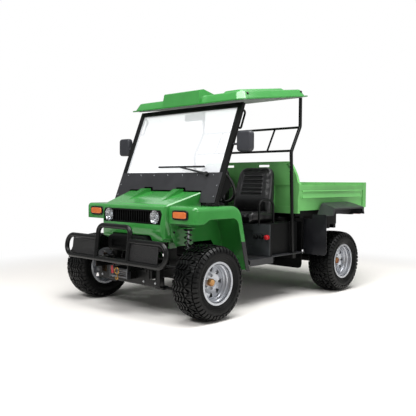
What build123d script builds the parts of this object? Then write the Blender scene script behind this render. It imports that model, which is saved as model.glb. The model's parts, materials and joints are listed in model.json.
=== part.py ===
from build123d import *
from math import atan2, cos, degrees, hypot, radians, sin, tan
import os

# An electric utility vehicle with an open two-seat cab and a tipping cargo bed.
# Millimetres; +X is forward, +Y the vehicle's left, +Z up; the origin lies on the ground
# under the middle of the vehicle.

# Wheels and overall sizes
WHEELBASE = 1825.0
TRACK = 1385.0
FRONT_OVERHANG = 415.0
REAR_OVERHANG = 715.0
TYRE_D = 584.0
TYRE_W = 262.0
SIDE_DROP = 66.0
SHOULDER_DROP = 15.0
SHOULDER_IN = 38.0
LUG_H = 11.0
LUG_ROOT = 2.0
LUG_ROWS = 36
LUG_FILL = 0.62
LUG_GAP = 7.0
LUG_SKEW = 8.0
BEAD_D = 304.8
RIM_W = 216.0
RIM_LIP = 14.0
RIM_WALL = 5.0
RIM_STEP = 8.0
RIM_WELL_D = 268.0
RIM_WELL_W = 70.0
DISC_OUT = 18.0
DISC_T = 5.0
WINDOWS = 8
HUB_R = 40.0
HUB_CAP_R = 30.0
HUB_CAP_L = 30.0
SPINDLE_R = 16.0
RUN = 0.08
SEAT = 0.3

# Steering and front suspension
KINGPIN_IN = 92.0
KINGPIN_R = 12.0
BALL_LOW_Z = 205.0
BALL_HIGH_Z = 385.0
BOSS_R = 21.0
BOSS_H = 28.0
ARM_PIVOT_Y = 332.0
ARM_TUBE_R = 12.0
LOW_ARM_SPREAD = 120.0
HIGH_ARM_SPREAD = 140.0
ARM_LOW_Z = 215.0
ARM_HIGH_Z = 392.0
STEER_ARM = 120.0
ROD_END_IN = 45.0
ROD_R = 10.0
ROD_Z = 262.0
ROD_END_R = 15.0
SHOCK_Y = 475.0
SHOCK_TOP_Z = 690.0
SPRING_R = 34.0
SPRING_L = 260.0
DAMPER_R = 18.0
COIL_PITCH = 32.0
COIL_DEEP = 11.0

# Frame
RAIL_Y = 270.0
RAIL_W = 60.0
RAIL_H = 70.0
RAIL_Z = 290.0
RAIL_FRONT = 130.0
RAIL_REAR = 385.0
HIGH_RAIL_Z = 600.0
HIGH_RAIL_H = 60.0
HIGH_RAIL_REAR = -600.0
FRAME_POST = 60.0
FLOOR_Z = 400.0
BEARER_W = 50.0
CROSS_W = 50.0
TOWER_L = 90.0
TOWER_T = 10.0
EAR_T = 6.0
EAR_HALF = 14.0
ARM_EYE_HALF = 22.0
SKID_X = 225.0
SKID_HALF = 390.0
SKID_Z = 230.0
SKID_TOP = 425.0
SKID_T = 6.0

# Rear axle and shocks
AXLE_R = 36.0
AXLE_HALF = 585.0
GEARCASE_R = 105.0
GEARCASE_HALF = 70.0
MOTOR_R = 88.0
MOTOR_L = 280.0
MOTOR_AHEAD = 190.0
REAR_ARM_W = 44.0
REAR_ARM_H = 50.0

# Floor, seat base and seats
FLOOR_T = 8.0
FLOOR_HALF = 680.0
FLOOR_SKIRT = 46.0
TOE_HALF = 380.0
TOE_T = 5.0
TOE_RISE = 460.0
BASE_FRONT = 1000.0
BASE_REAR = 490.0
BASE_HALF = 590.0
BASE_FACE_HALF = 665.0
BASE_FACE_T = 22.0
BASE_TOP = 690.0
BASE_WALL = 6.0
KNOB_Y = 632.0
KNOB_PITCH = 62.0
KNOB_R = 17.0
KNOB_L = 32.0
BATTERY_L = 400.0
BATTERY_HALF = 500.0
BATTERY_H = 240.0
SEAT_Y = 275.0
SEAT_W = 440.0
SEAT_DEPTH = 400.0
CUSHION_H = 115.0
CUSHION_FRONT = 1075.0
BACK_TOP = 1212.0
BACK_T = 95.0
BACK_LEAN = 8.0
HOOP_R = 10.0
HOOP_Y = 545.0
HOOP_TOP = 897.0

# Front body
BODY_HALF = 690.0
BODY_TOP = 868.0
BODY_WALL = 6.0
FENDER_FRONT = 140.0
FENDER_LOW = 735.0
FENDER_EDGE_R = 36.0
FENDER_NOSE_R = 30.0
FENDER_SWEEP_R = 115.0
ARCH_TOP = 770.0
ARCH_FRONT = 20.0
ARCH_REAR = -400.0
ARCH_LIP_LOW = 572.0
FLAP_REAR = -512.0
FLAP_LOW = 322.0
INNER_Y = 398.0
INNER_LOW = 515.0
NOSE_FRONT = 205.0
NOSE_LOW = 578.0
NOSE_BACK = 75.0
NOSE_CORNER_R = 70.0
NOSE_LOBE_R = 72.0
NOSE_MOUTH_R = 24.0
GRILLE_FACE = 178.0
GRILLE_TOP = 836.0
GRILLE_LOW = 722.0
GRILLE_TOP_HALF = 372.0
GRILLE_TAPER = 10.0
GRILLE_DEPTH = 26.0
GRILLE_SLATS = 15
SLAT_T = 8.0
LAMP_EDGE = 33.0
LAMP_Z = 780.0
LAMP_R = 48.0
LAMP_DEPTH = 60.0
TURN_Y = 530.0
TURN_Z = 803.0
TURN_W = 165.0
TURN_H = 68.0
BONNET_REAR = -165.0
BONNET_REAR_HALF = 452.0
BONNET_FRONT_HALF = 388.0
BONNET_REAR_Z = 976.0
RIDGE_Y = 205.0
RIDGE_W = 90.0
RIDGE_H = 24.0
CROWN_CHAMFER = 8.0
BUMPER_HALF = 240.0
BUMPER_TOP = 632.0
BUMPER_LOW = 482.0
BUMPER_FACE = 240.0

# Bull bar and winch
BAR_R = 20.0
BAR_LOW_Z = 430.0
BAR_WING_Z = 600.0
BAR_TOP_Z = 704.0
BAR_WING_HALF = 635.0
BAR_LEG_Y = 205.0
BAR_BEND = 82.0
HOOP_BEND = 60.0
BAR_LEAN = 7.0
MESH_T = 4.0
MESH_END = 88.0
WINCH_DRUM_R = 38.0
WINCH_HALF = 105.0
WINCH_Z = 320.0
ROLLER_R = 12.0

# Windscreen, roof and rear guard
PILLAR_FOOT = -125.0
SCREEN_RAKE = 22.0
SCREEN_HALF = 640.0
PILLAR_W = 50.0
PILLAR_T = 32.0
SCREEN_TOP = 1722.0
HEADER_H = 44.0
PANEL_TOP = 1137.0
PANEL_T = 5.0
PANEL_GAP = 10.0
GLASS_T = 5.0
ROOF_FRONT = 1462.0
ROOF_REAR = 452.0
ROOF_HALF = 705.0
ROOF_FRONT_Z = 1724.0
ROOF_PITCH = 7.5
ROOF_EDGE = 10.0
ROOF_BRIM = 22.0
ROOF_SOFT_R = 26.0
ROOF_CROWN = 62.0
ROOF_DRAFT = 62.0
ROOF_CORNER = 90.0
ROOF_RIB_H = 26.0
SIGN_HALF = 232.0
SIGN_TOP = 124.0
SIGN_L = 240.0
LINER_T = 5.0
POST_R = 16.0
POST_Y = 620.0
POST_LOW_X = 605.0
POST_KNEE_X = 644.0
POST_KNEE_Z = 1338.0
POST_HIGH_X = 505.0
POST_HIGH_Z = 1580.0
POST_BEND = 70.0
GUARD_R = 11.0
STRUT_Y = 336.0

# Cab fittings
DASH_HALF = 570.0
DASH_LOW = 906.0
DASH_TOP = 1128.0
DASH_DEPTH = 150.0
WHEEL_R = 178.0
WHEEL_GRIP_R = 13.0
WHEEL_X = 1262.0
WHEEL_Z = 1035.0
COLUMN_RAKE = 32.0
COLUMN_R = 22.0
COLUMN_L = 330.0
COLUMN_BRACKET_X = 1470.0
COLUMN_BRACKET_Z = 868.0
MIRROR_W = 150.0
MIRROR_H = 165.0
MIRROR_T = 46.0
MIRROR_Y = 752.0
MIRROR_Z = 1388.0
MIRROR_X = 1466.0

# Cargo bed
HEADBOARD_X = 550.0
HEADBOARD_T = 34.0
BED_HALF = 650.0
BED_FLOOR_Z = 795.0
BED_FLOOR_T = 6.0
BED_SIDE_TOP = 1038.0
BED_SIDE_T = 34.0
BED_STEP = 7.0
BOARD_SHOULDER_Z = 1064.0
BOARD_TOP_Z = 1258.0
BOARD_TOP_HALF = 522.0
BOARD_SLOT_Y = 225.0
BOARD_SLOT_W = 150.0
BOARD_SLOT_H = 22.0
GATE_T = 62.0
GATE_TOP = 1064.0
GATE_GAP = 6.0
GATE_PIN_R = 7.0
GATE_PIN_DROP = 14.0
GATE_LUG_R = 15.0
BED_CROSS_H = 18.0
HITCH_L = 95.0
HITCH_HOLE_R = 10.0
HITCH_HALF = 32.0
HITCH_T = 16.0
HITCH_Z = 420.0
HITCH_EDGE = 28.0
HITCH_PLATE_T = 10.0
HITCH_PLATE_HALF = 90.0
BED_RAIL_Y = 560.0
BED_RAIL_W = 50.0
BED_RAIL_H = 55.0
TIP_X = -540.0
TIP_Z = 690.0
TIP_PIN_R = 12.0
TIP_LUG_R = 24.0

# Mudguards and splash guards
GUARD_OUT = 825.0
GUARD_IN = 660.0
GUARD_TOP_IN = 866.0
GUARD_TOP_OUT = 815.0
GUARD_FRONT = 262.0
GUARD_REAR = -365.0
GUARD_T = 5.0
GUARD_BEND_R = 70.0
CARRIER_REAR = -70.0
CARRIER_FRONT = 100.0
CARRIER_T = 8.0
CARRIER_OVER = 70.0
GUARD_LIP = 14.0
GUARD_DROP = 745.0
SHIELD_X = 340.0
SHIELD_LOW = 372.0
SHIELD_IN = 560.0
SHIELD_TOP = 712.0
SPLASH_HALF = 617.0
SPLASH_LOW = 245.0
SPLASH_T = 6.0

# Places that follow from the sizes above
LENGTH = FRONT_OVERHANG + WHEELBASE + REAR_OVERHANG
REAR_X = -LENGTH / 2 + REAR_OVERHANG
FRONT_X = REAR_X + WHEELBASE
AXLE_Z = TYRE_D / 2
WHEEL_Y = TRACK / 2
KING_Y = WHEEL_Y - KINGPIN_IN
FLOOR_TOP = FLOOR_Z + FLOOR_T
BAR_X = FRONT_X + FRONT_OVERHANG - BAR_R
BED_REAR = GATE_T + GATE_GAP - REAR_OVERHANG
SPLASH_X = RAIL_REAR + FRAME_POST + SEAT
GATE_PIN_Z = BED_FLOOR_Z - GATE_PIN_DROP
GRILLE_LOW_HALF = GRILLE_TOP_HALF - GRILLE_TAPER
LAMP_Y = GRILLE_TOP_HALF - LAMP_R - LAMP_EDGE
RAIL_IN = RAIL_Y - RAIL_W / 2
RAIL_OUT = RAIL_Y + RAIL_W / 2
RAIL_TOP = RAIL_Z + RAIL_H
RAIL_START = REAR_X + RAIL_REAR
RAIL_END = FRONT_X + RAIL_FRONT
HIGH_RAIL_TOP = HIGH_RAIL_Z + HIGH_RAIL_H
HIGH_RAIL_START = REAR_X + HIGH_RAIL_REAR


def block(x0, x1, y0, y1, z0, z1):
    """A box between two corners."""
    middle = Pos((x0 + x1) / 2, (y0 + y1) / 2, (z0 + z1) / 2)
    return middle * Box(abs(x1 - x0), abs(y1 - y0), abs(z1 - z0))


def side_prism(points, y0, y1):
    """A prism whose outline in X and Z runs from y0 to y1."""
    outline = Polyline(*[(x, y0, z) for x, z in points], close=True)
    return extrude(make_face(outline), amount=y1 - y0, dir=(0, 1, 0))


def plan_prism(points, z0, z1):
    """A prism whose outline in X and Y runs from z0 to z1."""
    outline = Polyline(*[(x, y, z0) for x, y in points], close=True)
    return extrude(make_face(outline), amount=z1 - z0, dir=(0, 0, 1))


def front_prism(points, x0, x1):
    """A prism whose outline in Y and Z runs from x0 to x1."""
    outline = Polyline(*[(x0, y, z) for y, z in points], close=True)
    return extrude(make_face(outline), amount=x1 - x0, dir=(1, 0, 0))


def soft_face(points, place):
    """A flat face from points of (first, second, corner radius), put into space by place."""
    face = make_face(Polyline(*[place(a, b) for a, b, radius in points], close=True)).face()
    for a, b, radius in points:
        if radius > 0:
            corner = face.vertices().sort_by_distance(place(a, b))[0]
            face = face.fillet_2d(radius, [corner])
    return face


def soft_side(points, y0, y1):
    """A prism from y0 to y1 whose outline in X and Z has rounded corners."""
    return extrude(soft_face(points, lambda x, z: Vector(x, y0, z)), amount=y1 - y0, dir=(0, 1, 0))


def soft_plan(points, z0, z1):
    """A prism from z0 to z1 whose outline in X and Y has rounded corners."""
    return extrude(soft_face(points, lambda x, y: Vector(x, y, z0)), amount=z1 - z0, dir=(0, 0, 1))


def soft_front(points, x0, x1):
    """A prism from x0 to x1 whose outline in Y and Z has rounded corners."""
    return extrude(soft_face(points, lambda y, z: Vector(x0, y, z)), amount=x1 - x0, dir=(1, 0, 0))


def rod(start, end, radius):
    """A round bar between two points."""
    along = Vector(*end) - Vector(*start)
    return Solid.make_cylinder(radius, along.length, Plane(origin=start, z_dir=along))


def tube(points, radius, bend):
    """A round bar bent through the points."""
    path = FilletPolyline(*points, radius=bend)
    ring = Plane(origin=path @ 0, z_dir=path % 0) * Circle(radius)
    return sweep(ring, path=path)


def spun(points):
    """A solid turned about Y from points of (y, radius)."""
    outline = Polyline(*[(0, y, r) for y, r in points], close=True)
    return revolve(make_face(outline), axis=Axis.Y)


def both(shape):
    """A shape of the left side together with its mirror image."""
    return shape + mirror(shape, about=Plane.XZ)


def other(shape):
    """The mirror image of a shape of the left side."""
    return mirror(shape, about=Plane.XZ)


def flat_ring(y, flat):
    """A regular outline about Y, one flat for each row of lugs, at a distance from the axle."""
    turn = radians(180 / LUG_ROWS)
    corner = flat / cos(turn)
    points = []
    for row in range(LUG_ROWS):
        angle = turn * (2 * row + 1)
        points.append((corner * sin(angle), y, -corner * cos(angle)))
    return make_face(Polyline(*points, close=True)).face()


def lug(points):
    """One tread block at the foot of the tyre, from points of (x, y)."""
    foot = TYRE_D / 2 - LUG_H - LUG_ROOT
    outline = Polyline(*[(x, y, -foot) for x, y in points], close=True)
    return extrude(make_face(outline), amount=LUG_H + LUG_ROOT, dir=(0, 0, -1))


def make_tyre():
    """One tyre about its own centre: a carcass with flats and a pair of lugs on each flat."""
    half = TYRE_W / 2
    base = TYRE_D / 2 - LUG_H
    bead_half = RIM_W / 2 - RIM_WALL - SEAT
    flange = BEAD_D / 2 + RIM_LIP + SEAT
    section = [(-bead_half, flange), (-half, base - SIDE_DROP),
               (-half + SHOULDER_IN * 0.3, base - SHOULDER_DROP)]
    section += [(-half + SHOULDER_IN, base)]
    section += [(-y, flat) for y, flat in reversed(section)]
    carcass = loft([flat_ring(y, flat) for y, flat in section], ruled=True)
    carcass -= Rot(90, 0, 0) * Cylinder(BEAD_D / 2 + SEAT, TYRE_W + 20)
    pitch = 2 * base * tan(radians(180 / LUG_ROWS))
    wide = pitch * LUG_FILL / 2
    end = half - SHOULDER_IN
    outer = lug([(-wide, LUG_GAP), (wide, LUG_GAP), (wide + LUG_SKEW, end), (-wide + LUG_SKEW, end)])
    lugs = []
    for row in range(LUG_ROWS):
        turn = Rot(0, 360 / LUG_ROWS * row, 0)
        lugs.append(turn * outer)
        lugs.append(turn * other(outer))
    return carcass.fuse(*lugs)


def make_rim():
    """One wheel about its own centre, with its hub, its windows and its cap."""
    half = RIM_W / 2
    bead = BEAD_D / 2
    lip = bead + RIM_LIP
    well = RIM_WELL_D / 2
    step = RIM_WELL_W / 2
    wall = RIM_WALL
    outer = [(-half, lip), (-half + wall, lip), (-half + wall, bead), (-step - 25, bead), (-step, well)]
    shelf = bead - RIM_STEP
    outer += [(step, well), (step + 14, shelf), (half - 44, shelf), (half - 36, bead)]
    outer += [(half - wall, bead), (half - wall, lip), (half, lip)]
    inner = [(half, bead - wall + 3), (half - 12, bead - wall), (half - 34, bead - wall),
             (half - 42, shelf - wall)]
    inner += [(step + 16, shelf - wall), (step + 2, well - wall)]
    inner += [(-step - 2, well - wall), (-step - 27, bead - wall), (-half, bead - wall)]
    barrel = spun(outer + inner)
    face = DISC_OUT
    disc = spun([(face - DISC_T, SPINDLE_R + RUN), (face, SPINDLE_R + RUN), (face, 66), (face + 16, 88),
                 (face + 10, well - wall), (face + 10 - DISC_T, well - wall), (face + 10,
                                                                               88), (face - DISC_T, 68)])
    width = 20.0
    window = side_prism([(-width, 116), (width, 116), (7, 82), (-7, 82)], face - 30, face + 30)
    for number in range(WINDOWS):
        disc -= Rot(0, number * 360 / WINDOWS, 0) * window
    hub = spun([(-52, SPINDLE_R + RUN), (face - DISC_T, SPINDLE_R + RUN), (face - DISC_T, 62),
                (face - 18, 62),
                (face - 18, HUB_R), (-52, HUB_R)])
    cap_end = face + HUB_CAP_L
    cap = spun([(face, SPINDLE_R + RUN), (cap_end - 6, SPINDLE_R + RUN), (cap_end - 6, 0), (cap_end, 0),
                (cap_end, HUB_CAP_R - 6), (cap_end - 6, HUB_CAP_R), (face, HUB_CAP_R)])
    return barrel + disc + hub + cap


def make_knuckle():
    """The left front upright on its kingpin, with the spindle and the steering arm."""
    gap = 4.0
    low = BALL_LOW_Z + BOSS_H / 2 + gap
    high = BALL_HIGH_Z - BOSS_H / 2 - gap
    x, y = FRONT_X, KING_Y
    upright = block(x - 24, x + 24, y - 17, y + 20, low, high)
    pin = rod((x, y, BALL_LOW_Z - BOSS_H / 2 - 6), (x, y, BALL_HIGH_Z + BOSS_H / 2 + 6), KINGPIN_R)
    heads = rod((x, y, BALL_LOW_Z - BOSS_H / 2 - 8), (x, y, BALL_LOW_Z - BOSS_H / 2 - SEAT),
                KINGPIN_R + 5)
    heads += rod((x, y, BALL_HIGH_Z + BOSS_H / 2 + SEAT), (x, y, BALL_HIGH_Z + BOSS_H / 2 + 8),
                 KINGPIN_R + 5)
    stub = rod((x, y, AXLE_Z), (x, WHEEL_Y + DISC_OUT + HUB_CAP_L - 10, AXLE_Z), SPINDLE_R)
    shoulder = rod((x, y, AXLE_Z), (x, WHEEL_Y - 52 - 2, AXLE_Z), HUB_R)
    arm_low = ROD_Z + ROD_R + 3 + SEAT
    end_y = y - ROD_END_IN
    arm = plan_prism([(x - 20, y - 17), (x - STEER_ARM - 14, end_y - 10),
                      (x - STEER_ARM - 14, end_y + 12),
                      (x - STEER_ARM, end_y + 14), (x - 20, y + 20)], arm_low, arm_low + 16)
    return upright + pin + heads + stub + shoulder + arm


def make_tie_rods():
    """The steering rack with its two track rods and their ends."""
    x = FRONT_X - STEER_ARM
    end_y = KING_Y - ROD_END_IN
    bar = rod((x, -end_y, ROD_Z), (x, end_y, ROD_Z), ROD_R)
    end = rod((x, end_y, ROD_Z - ROD_R - 3), (x, end_y, ROD_Z + ROD_R + 3), ROD_END_R)
    return bar + both(end)


def make_rack_housing():
    """The rack's housing, hung from a cross bar of the frame."""
    x = FRONT_X - STEER_ARM
    end = RAIL_Y - RAIL_W / 2 - 4
    case = rod((x, -end, ROD_Z), (x, end, ROD_Z), ROD_R + 9)
    case += both(block(x - 16, x + 16, end - 60, end - 30, ROD_Z, RAIL_Z + 10))
    return case - rod((x, -end - 1, ROD_Z), (x, end + 1, ROD_Z), ROD_R + RUN)


def make_front_arms():
    """The four front suspension arms, each with its outer boss and two legs."""
    x, y = FRONT_X, KING_Y
    arms = None
    for ball_z, pivot_z, spread in ((BALL_LOW_Z, ARM_LOW_Z, LOW_ARM_SPREAD),
                                    (BALL_HIGH_Z, ARM_HIGH_Z, HIGH_ARM_SPREAD)):
        arm = rod((x, y, ball_z - BOSS_H / 2), (x, y, ball_z + BOSS_H / 2), BOSS_R)
        for side in (-1, 1):
            arm += rod((x, y, ball_z), (x + side * spread, ARM_PIVOT_Y, pivot_z), ARM_TUBE_R)
            arm += rod((x + side * spread - ARM_EYE_HALF, ARM_PIVOT_Y, pivot_z),
                       (x + side * spread + ARM_EYE_HALF, ARM_PIVOT_Y, pivot_z), 16)
        if ball_z == BALL_LOW_Z:
            arm += block(x - 62, x + 62, SHOCK_Y - 24, SHOCK_Y + 24, ARM_LOW_Z - 6, ARM_LOW_Z + 14)
        arm -= rod((x, y, ball_z - BOSS_H), (x, y, ball_z + BOSS_H), KINGPIN_R + RUN)
        arms = arm if arms is None else arms + arm
    return both(arms)


def coil_sleeve(radius, length):
    """A spring around a damper, turned as a stack of coils, standing on Z = 0."""
    turns = int(length / COIL_PITCH)
    step = length / turns
    points = [(0, 0)]
    for turn in range(turns):
        points += [(radius - COIL_DEEP, turn * step), (radius, (turn + 0.35) * step),
                   (radius, (turn + 0.65) * step)]
    points += [(radius - COIL_DEEP, length), (0, length)]
    outline = Polyline(*[(r, 0, z) for r, z in points], close=True)
    return revolve(make_face(outline), axis=Axis.Z)


def make_front_shocks():
    """The two front dampers with their springs."""
    x, y = FRONT_X, SHOCK_Y
    low = ARM_LOW_Z + 14
    shock = rod((x, y, low), (x, y, SHOCK_TOP_Z), DAMPER_R)
    spring = coil_sleeve(SPRING_R, SPRING_L - 12)
    shock += Pos(x, y, SHOCK_TOP_Z - SPRING_L) * spring
    return both(shock)


def make_frame():
    """The two low rails of the frame with the shock towers and the pivots of the front arms."""
    rail = block(RAIL_START, RAIL_END, RAIL_IN, RAIL_OUT, RAIL_Z, RAIL_TOP)
    rail += block(RAIL_END, FRONT_X + SKID_X - SKID_T, RAIL_Y - 20, RAIL_Y + 20, RAIL_Z, RAIL_TOP)
    back, front = FRONT_X - TOWER_L / 2, FRONT_X + TOWER_L / 2
    tower_top = SHOCK_TOP_Z + TOWER_T
    rail += block(back, front, RAIL_OUT - TOWER_T, RAIL_OUT, RAIL_TOP, tower_top)
    rail += block(back, front, RAIL_OUT - TOWER_T, SHOCK_Y + SPRING_R, SHOCK_TOP_Z, tower_top)
    for spread, pivot_z in ((LOW_ARM_SPREAD, ARM_LOW_Z), (HIGH_ARM_SPREAD, ARM_HIGH_Z)):
        if pivot_z > RAIL_Z:
            foot_low, foot_high = RAIL_TOP, pivot_z + EAR_HALF
        else:
            foot_low, foot_high = pivot_z - EAR_HALF, RAIL_Z
        for way in (-1, 1):
            for edge in (-1, 1):
                near = FRONT_X + way * spread + edge * (ARM_EYE_HALF + SEAT)
                far = near + edge * EAR_T
                rail += block(near, far, RAIL_IN + 10, ARM_PIVOT_Y + EAR_HALF, pivot_z - EAR_HALF,
                              pivot_z + EAR_HALF)
                rail += block(near, far, RAIL_IN + 10, RAIL_OUT, foot_low, foot_high)
    return both(rail)


def make_cross_bars():
    """The cross bars between the rails and the bearers of the floor."""
    bars = []
    for x in (RAIL_START + 5, REAR_X + BASE_FRONT - 40, FRONT_X - 330, FRONT_X - STEER_ARM - 25,
              RAIL_END - 55):
        bars.append(block(x, x + CROSS_W, -RAIL_IN, RAIL_IN, RAIL_Z + 10, RAIL_TOP - 10))
    for x in (HIGH_RAIL_START + 10, REAR_X + 60, RAIL_START + 5):
        bars.append(block(x, x + CROSS_W, -RAIL_IN, RAIL_IN, HIGH_RAIL_Z + 5, HIGH_RAIL_TOP - 5))
    half = FLOOR_HALF - 40
    for x in (REAR_X + POST_LOW_X - BEARER_W / 2, REAR_X + BASE_FRONT - BEARER_W, FRONT_X - 620):
        bars.append(block(x, x + BEARER_W, -half, half, RAIL_TOP, FLOOR_Z))
    return Compound(bars)


def make_rear_subframe():
    """The two raised rear rails on their posts, with the bed's stands and the mudguards' carriers."""
    post_end = RAIL_START + FRAME_POST
    rail = block(RAIL_START, post_end, RAIL_IN, RAIL_OUT, RAIL_TOP, HIGH_RAIL_Z)
    rail += block(HIGH_RAIL_START, post_end, RAIL_IN, RAIL_OUT, HIGH_RAIL_Z, HIGH_RAIL_TOP)
    # The stand of the bed's pin and the rest under the bed's front end
    stand_x = REAR_X + TIP_X
    rail += block(stand_x - 26, stand_x + 26, RAIL_Y - 12, RAIL_Y + 12, HIGH_RAIL_TOP, TIP_Z - 14)
    rail += rod((stand_x, RAIL_Y - 12, TIP_Z), (stand_x, RAIL_Y + 12, TIP_Z), TIP_LUG_R)
    rail += rod((stand_x, RAIL_Y - 60, TIP_Z), (stand_x, RAIL_Y + 60, TIP_Z), TIP_PIN_R)
    rest_top = BED_FLOOR_Z - BED_RAIL_H - BED_CROSS_H
    rail += block(RAIL_START, post_end, RAIL_IN, RAIL_OUT, HIGH_RAIL_TOP, rest_top)
    # The carrier plate inside the mudguard's inner wall, on two arms
    back, front = REAR_X + CARRIER_REAR, REAR_X + CARRIER_FRONT
    inner = GUARD_IN + GUARD_T + SEAT
    outer = inner + CARRIER_T
    rail += block(back, front, inner, outer, HIGH_RAIL_TOP - 10, GUARD_DROP + CARRIER_OVER)
    for x in (back + 30, front - 30):
        rail += block(x - 20, x + 20, RAIL_OUT, outer, HIGH_RAIL_Z + 10, HIGH_RAIL_TOP - 10)
    return both(rail)


def make_drawbar():
    """The rear cross plate with the drawbar and its pin hole."""
    back = HIGH_RAIL_START - HITCH_PLATE_T
    tip = HIGH_RAIL_START - HITCH_L
    bar = block(back, HIGH_RAIL_START, -HITCH_PLATE_HALF, HITCH_PLATE_HALF, HITCH_Z, HIGH_RAIL_TOP)
    bar += block(HIGH_RAIL_START, HIGH_RAIL_START + 10, -RAIL_IN, RAIL_IN, HIGH_RAIL_Z + 5,
                 HIGH_RAIL_TOP - 5)
    bar += block(tip, back, -HITCH_HALF, HITCH_HALF, HITCH_Z, HITCH_Z + HITCH_T)
    hole_x = tip + HITCH_EDGE
    return bar - rod((hole_x, 0, HITCH_Z - 20), (hole_x, 0, HITCH_Z + HITCH_T + 20), HITCH_HOLE_R)


def make_skid_plate():
    """The bent plate under the nose that also carries the winch."""
    x = FRONT_X + SKID_X
    t = SKID_T
    back = FRONT_X + LOW_ARM_SPREAD + 50
    face = block(x - t, x, -SKID_HALF, SKID_HALF, SKID_Z + 12, SKID_TOP)
    under = side_prism([(x, SKID_Z + 12), (x - t, SKID_Z + 12), (x - 16, SKID_Z + t), (back, SKID_Z + t),
                        (back, SKID_Z), (x - 13, SKID_Z)], -SKID_HALF, SKID_HALF)
    plate = face + under
    return plate - both(block(x - 50, x + 5, BAR_LEG_Y + 60, SKID_HALF - 40, SKID_Z + 60, SKID_TOP - 60))


def make_bull_bar():
    """The tubular front bar: a ring with two wings, a middle hoop and two stays."""
    x = BAR_X
    wing = [(x, BAR_LEG_Y, BAR_WING_Z), (x, BAR_WING_HALF, BAR_WING_Z), (x, BAR_WING_HALF, BAR_LOW_Z),
            (x, -BAR_WING_HALF, BAR_LOW_Z), (x, -BAR_WING_HALF, BAR_WING_Z), (x, -BAR_LEG_Y, BAR_WING_Z)]
    bar = tube(wing, BAR_R, BAR_BEND)
    hoop = [(x, BAR_LEG_Y, BAR_LOW_Z), (x, BAR_LEG_Y, BAR_TOP_Z), (x, -BAR_LEG_Y, BAR_TOP_Z),
            (x, -BAR_LEG_Y, BAR_LOW_Z)]
    bar += tube(hoop, BAR_R, HOOP_BEND)
    foot = FRONT_X + SKID_X
    bar = Pos(x, 0, BAR_LOW_Z) * Rot(0, -BAR_LEAN, 0) * Pos(-x, 0, -BAR_LOW_Z) * bar
    stay = block(foot, x, BAR_LEG_Y - 5, BAR_LEG_Y + 5, BAR_LOW_Z - 70, BAR_LOW_Z + 10)
    stay += block(foot, foot + 6, BAR_LEG_Y - 30, BAR_LEG_Y + 30, BAR_LOW_Z - 90, BAR_LOW_Z - 5)
    return bar + both(stay)


def make_bar_mesh():
    """The two mesh plates in the wings of the bull bar."""
    x = BAR_X
    gap = BAR_R + SEAT
    plate = block(x - MESH_T / 2, x + MESH_T / 2, BAR_LEG_Y + gap, BAR_WING_HALF - MESH_END,
                  BAR_LOW_Z + gap,
                  BAR_WING_Z - gap)
    plate = Pos(x, 0, BAR_LOW_Z) * Rot(0, -BAR_LEAN, 0) * Pos(-x, 0, -BAR_LOW_Z) * plate
    return both(plate)


def make_winch():
    """The winch behind its roller guide, on the face of the skid plate."""
    x = FRONT_X + SKID_X
    plate = block(x, x + 6, -WINCH_HALF, WINCH_HALF, WINCH_Z - 45, WINCH_Z + 45)
    sides = both(block(x + 6, x + 70, WINCH_HALF - 14, WINCH_HALF, WINCH_Z - 42, WINCH_Z + 42))
    drum = rod((x + 40, -WINCH_HALF + 10, WINCH_Z), (x + 40, WINCH_HALF - 10, WINCH_Z), WINCH_DRUM_R - 8)
    rollers = rod((x + 84, -WINCH_HALF, WINCH_Z - 26), (x + 84, WINCH_HALF, WINCH_Z - 26), ROLLER_R)
    rollers += rod((x + 84, -WINCH_HALF, WINCH_Z + 26), (x + 84, WINCH_HALF, WINCH_Z + 26), ROLLER_R)
    uprights = both(rod((x + 84, WINCH_HALF - 14, WINCH_Z - 26), (x + 84, WINCH_HALF - 14, WINCH_Z + 26),
                        ROLLER_R - 4))
    ends = both(block(x + 60, x + 98, WINCH_HALF, WINCH_HALF + 6, WINCH_Z - 42, WINCH_Z + 42))
    return plate + sides + drum + rollers + uprights + ends


def make_bumper():
    """The moulded block between the two lobes of the nose."""
    x0, x1 = FRONT_X + RAIL_FRONT, FRONT_X + BUMPER_FACE
    half = BUMPER_HALF
    top = BUMPER_TOP - 8
    body = front_prism([(-half, BUMPER_LOW), (half, BUMPER_LOW), (half, top - 30), (half - 40, top),
                        (-half + 40, top),
                        (-half, top - 30)], x0, x1)
    body = fillet(body.edges().filter_by(Axis.Y).sort_by(Axis.X)[-2:], 26)
    hollow = block(x0 - 1, x1 - 8, -BUMPER_HALF + 8, BUMPER_HALF - 8, BUMPER_LOW - 1, BUMPER_TOP - 50)
    recess = block(x1 - 6, x1 + 1, -BUMPER_HALF + 50, BUMPER_HALF - 50, BUMPER_LOW + 40, BUMPER_TOP - 52)
    foot = both(block(x0, x0 + 40, RAIL_Y - 60, RAIL_Y - 22, RAIL_Z + RAIL_H, BUMPER_TOP - 60))
    return body - hollow - recess + foot


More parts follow.
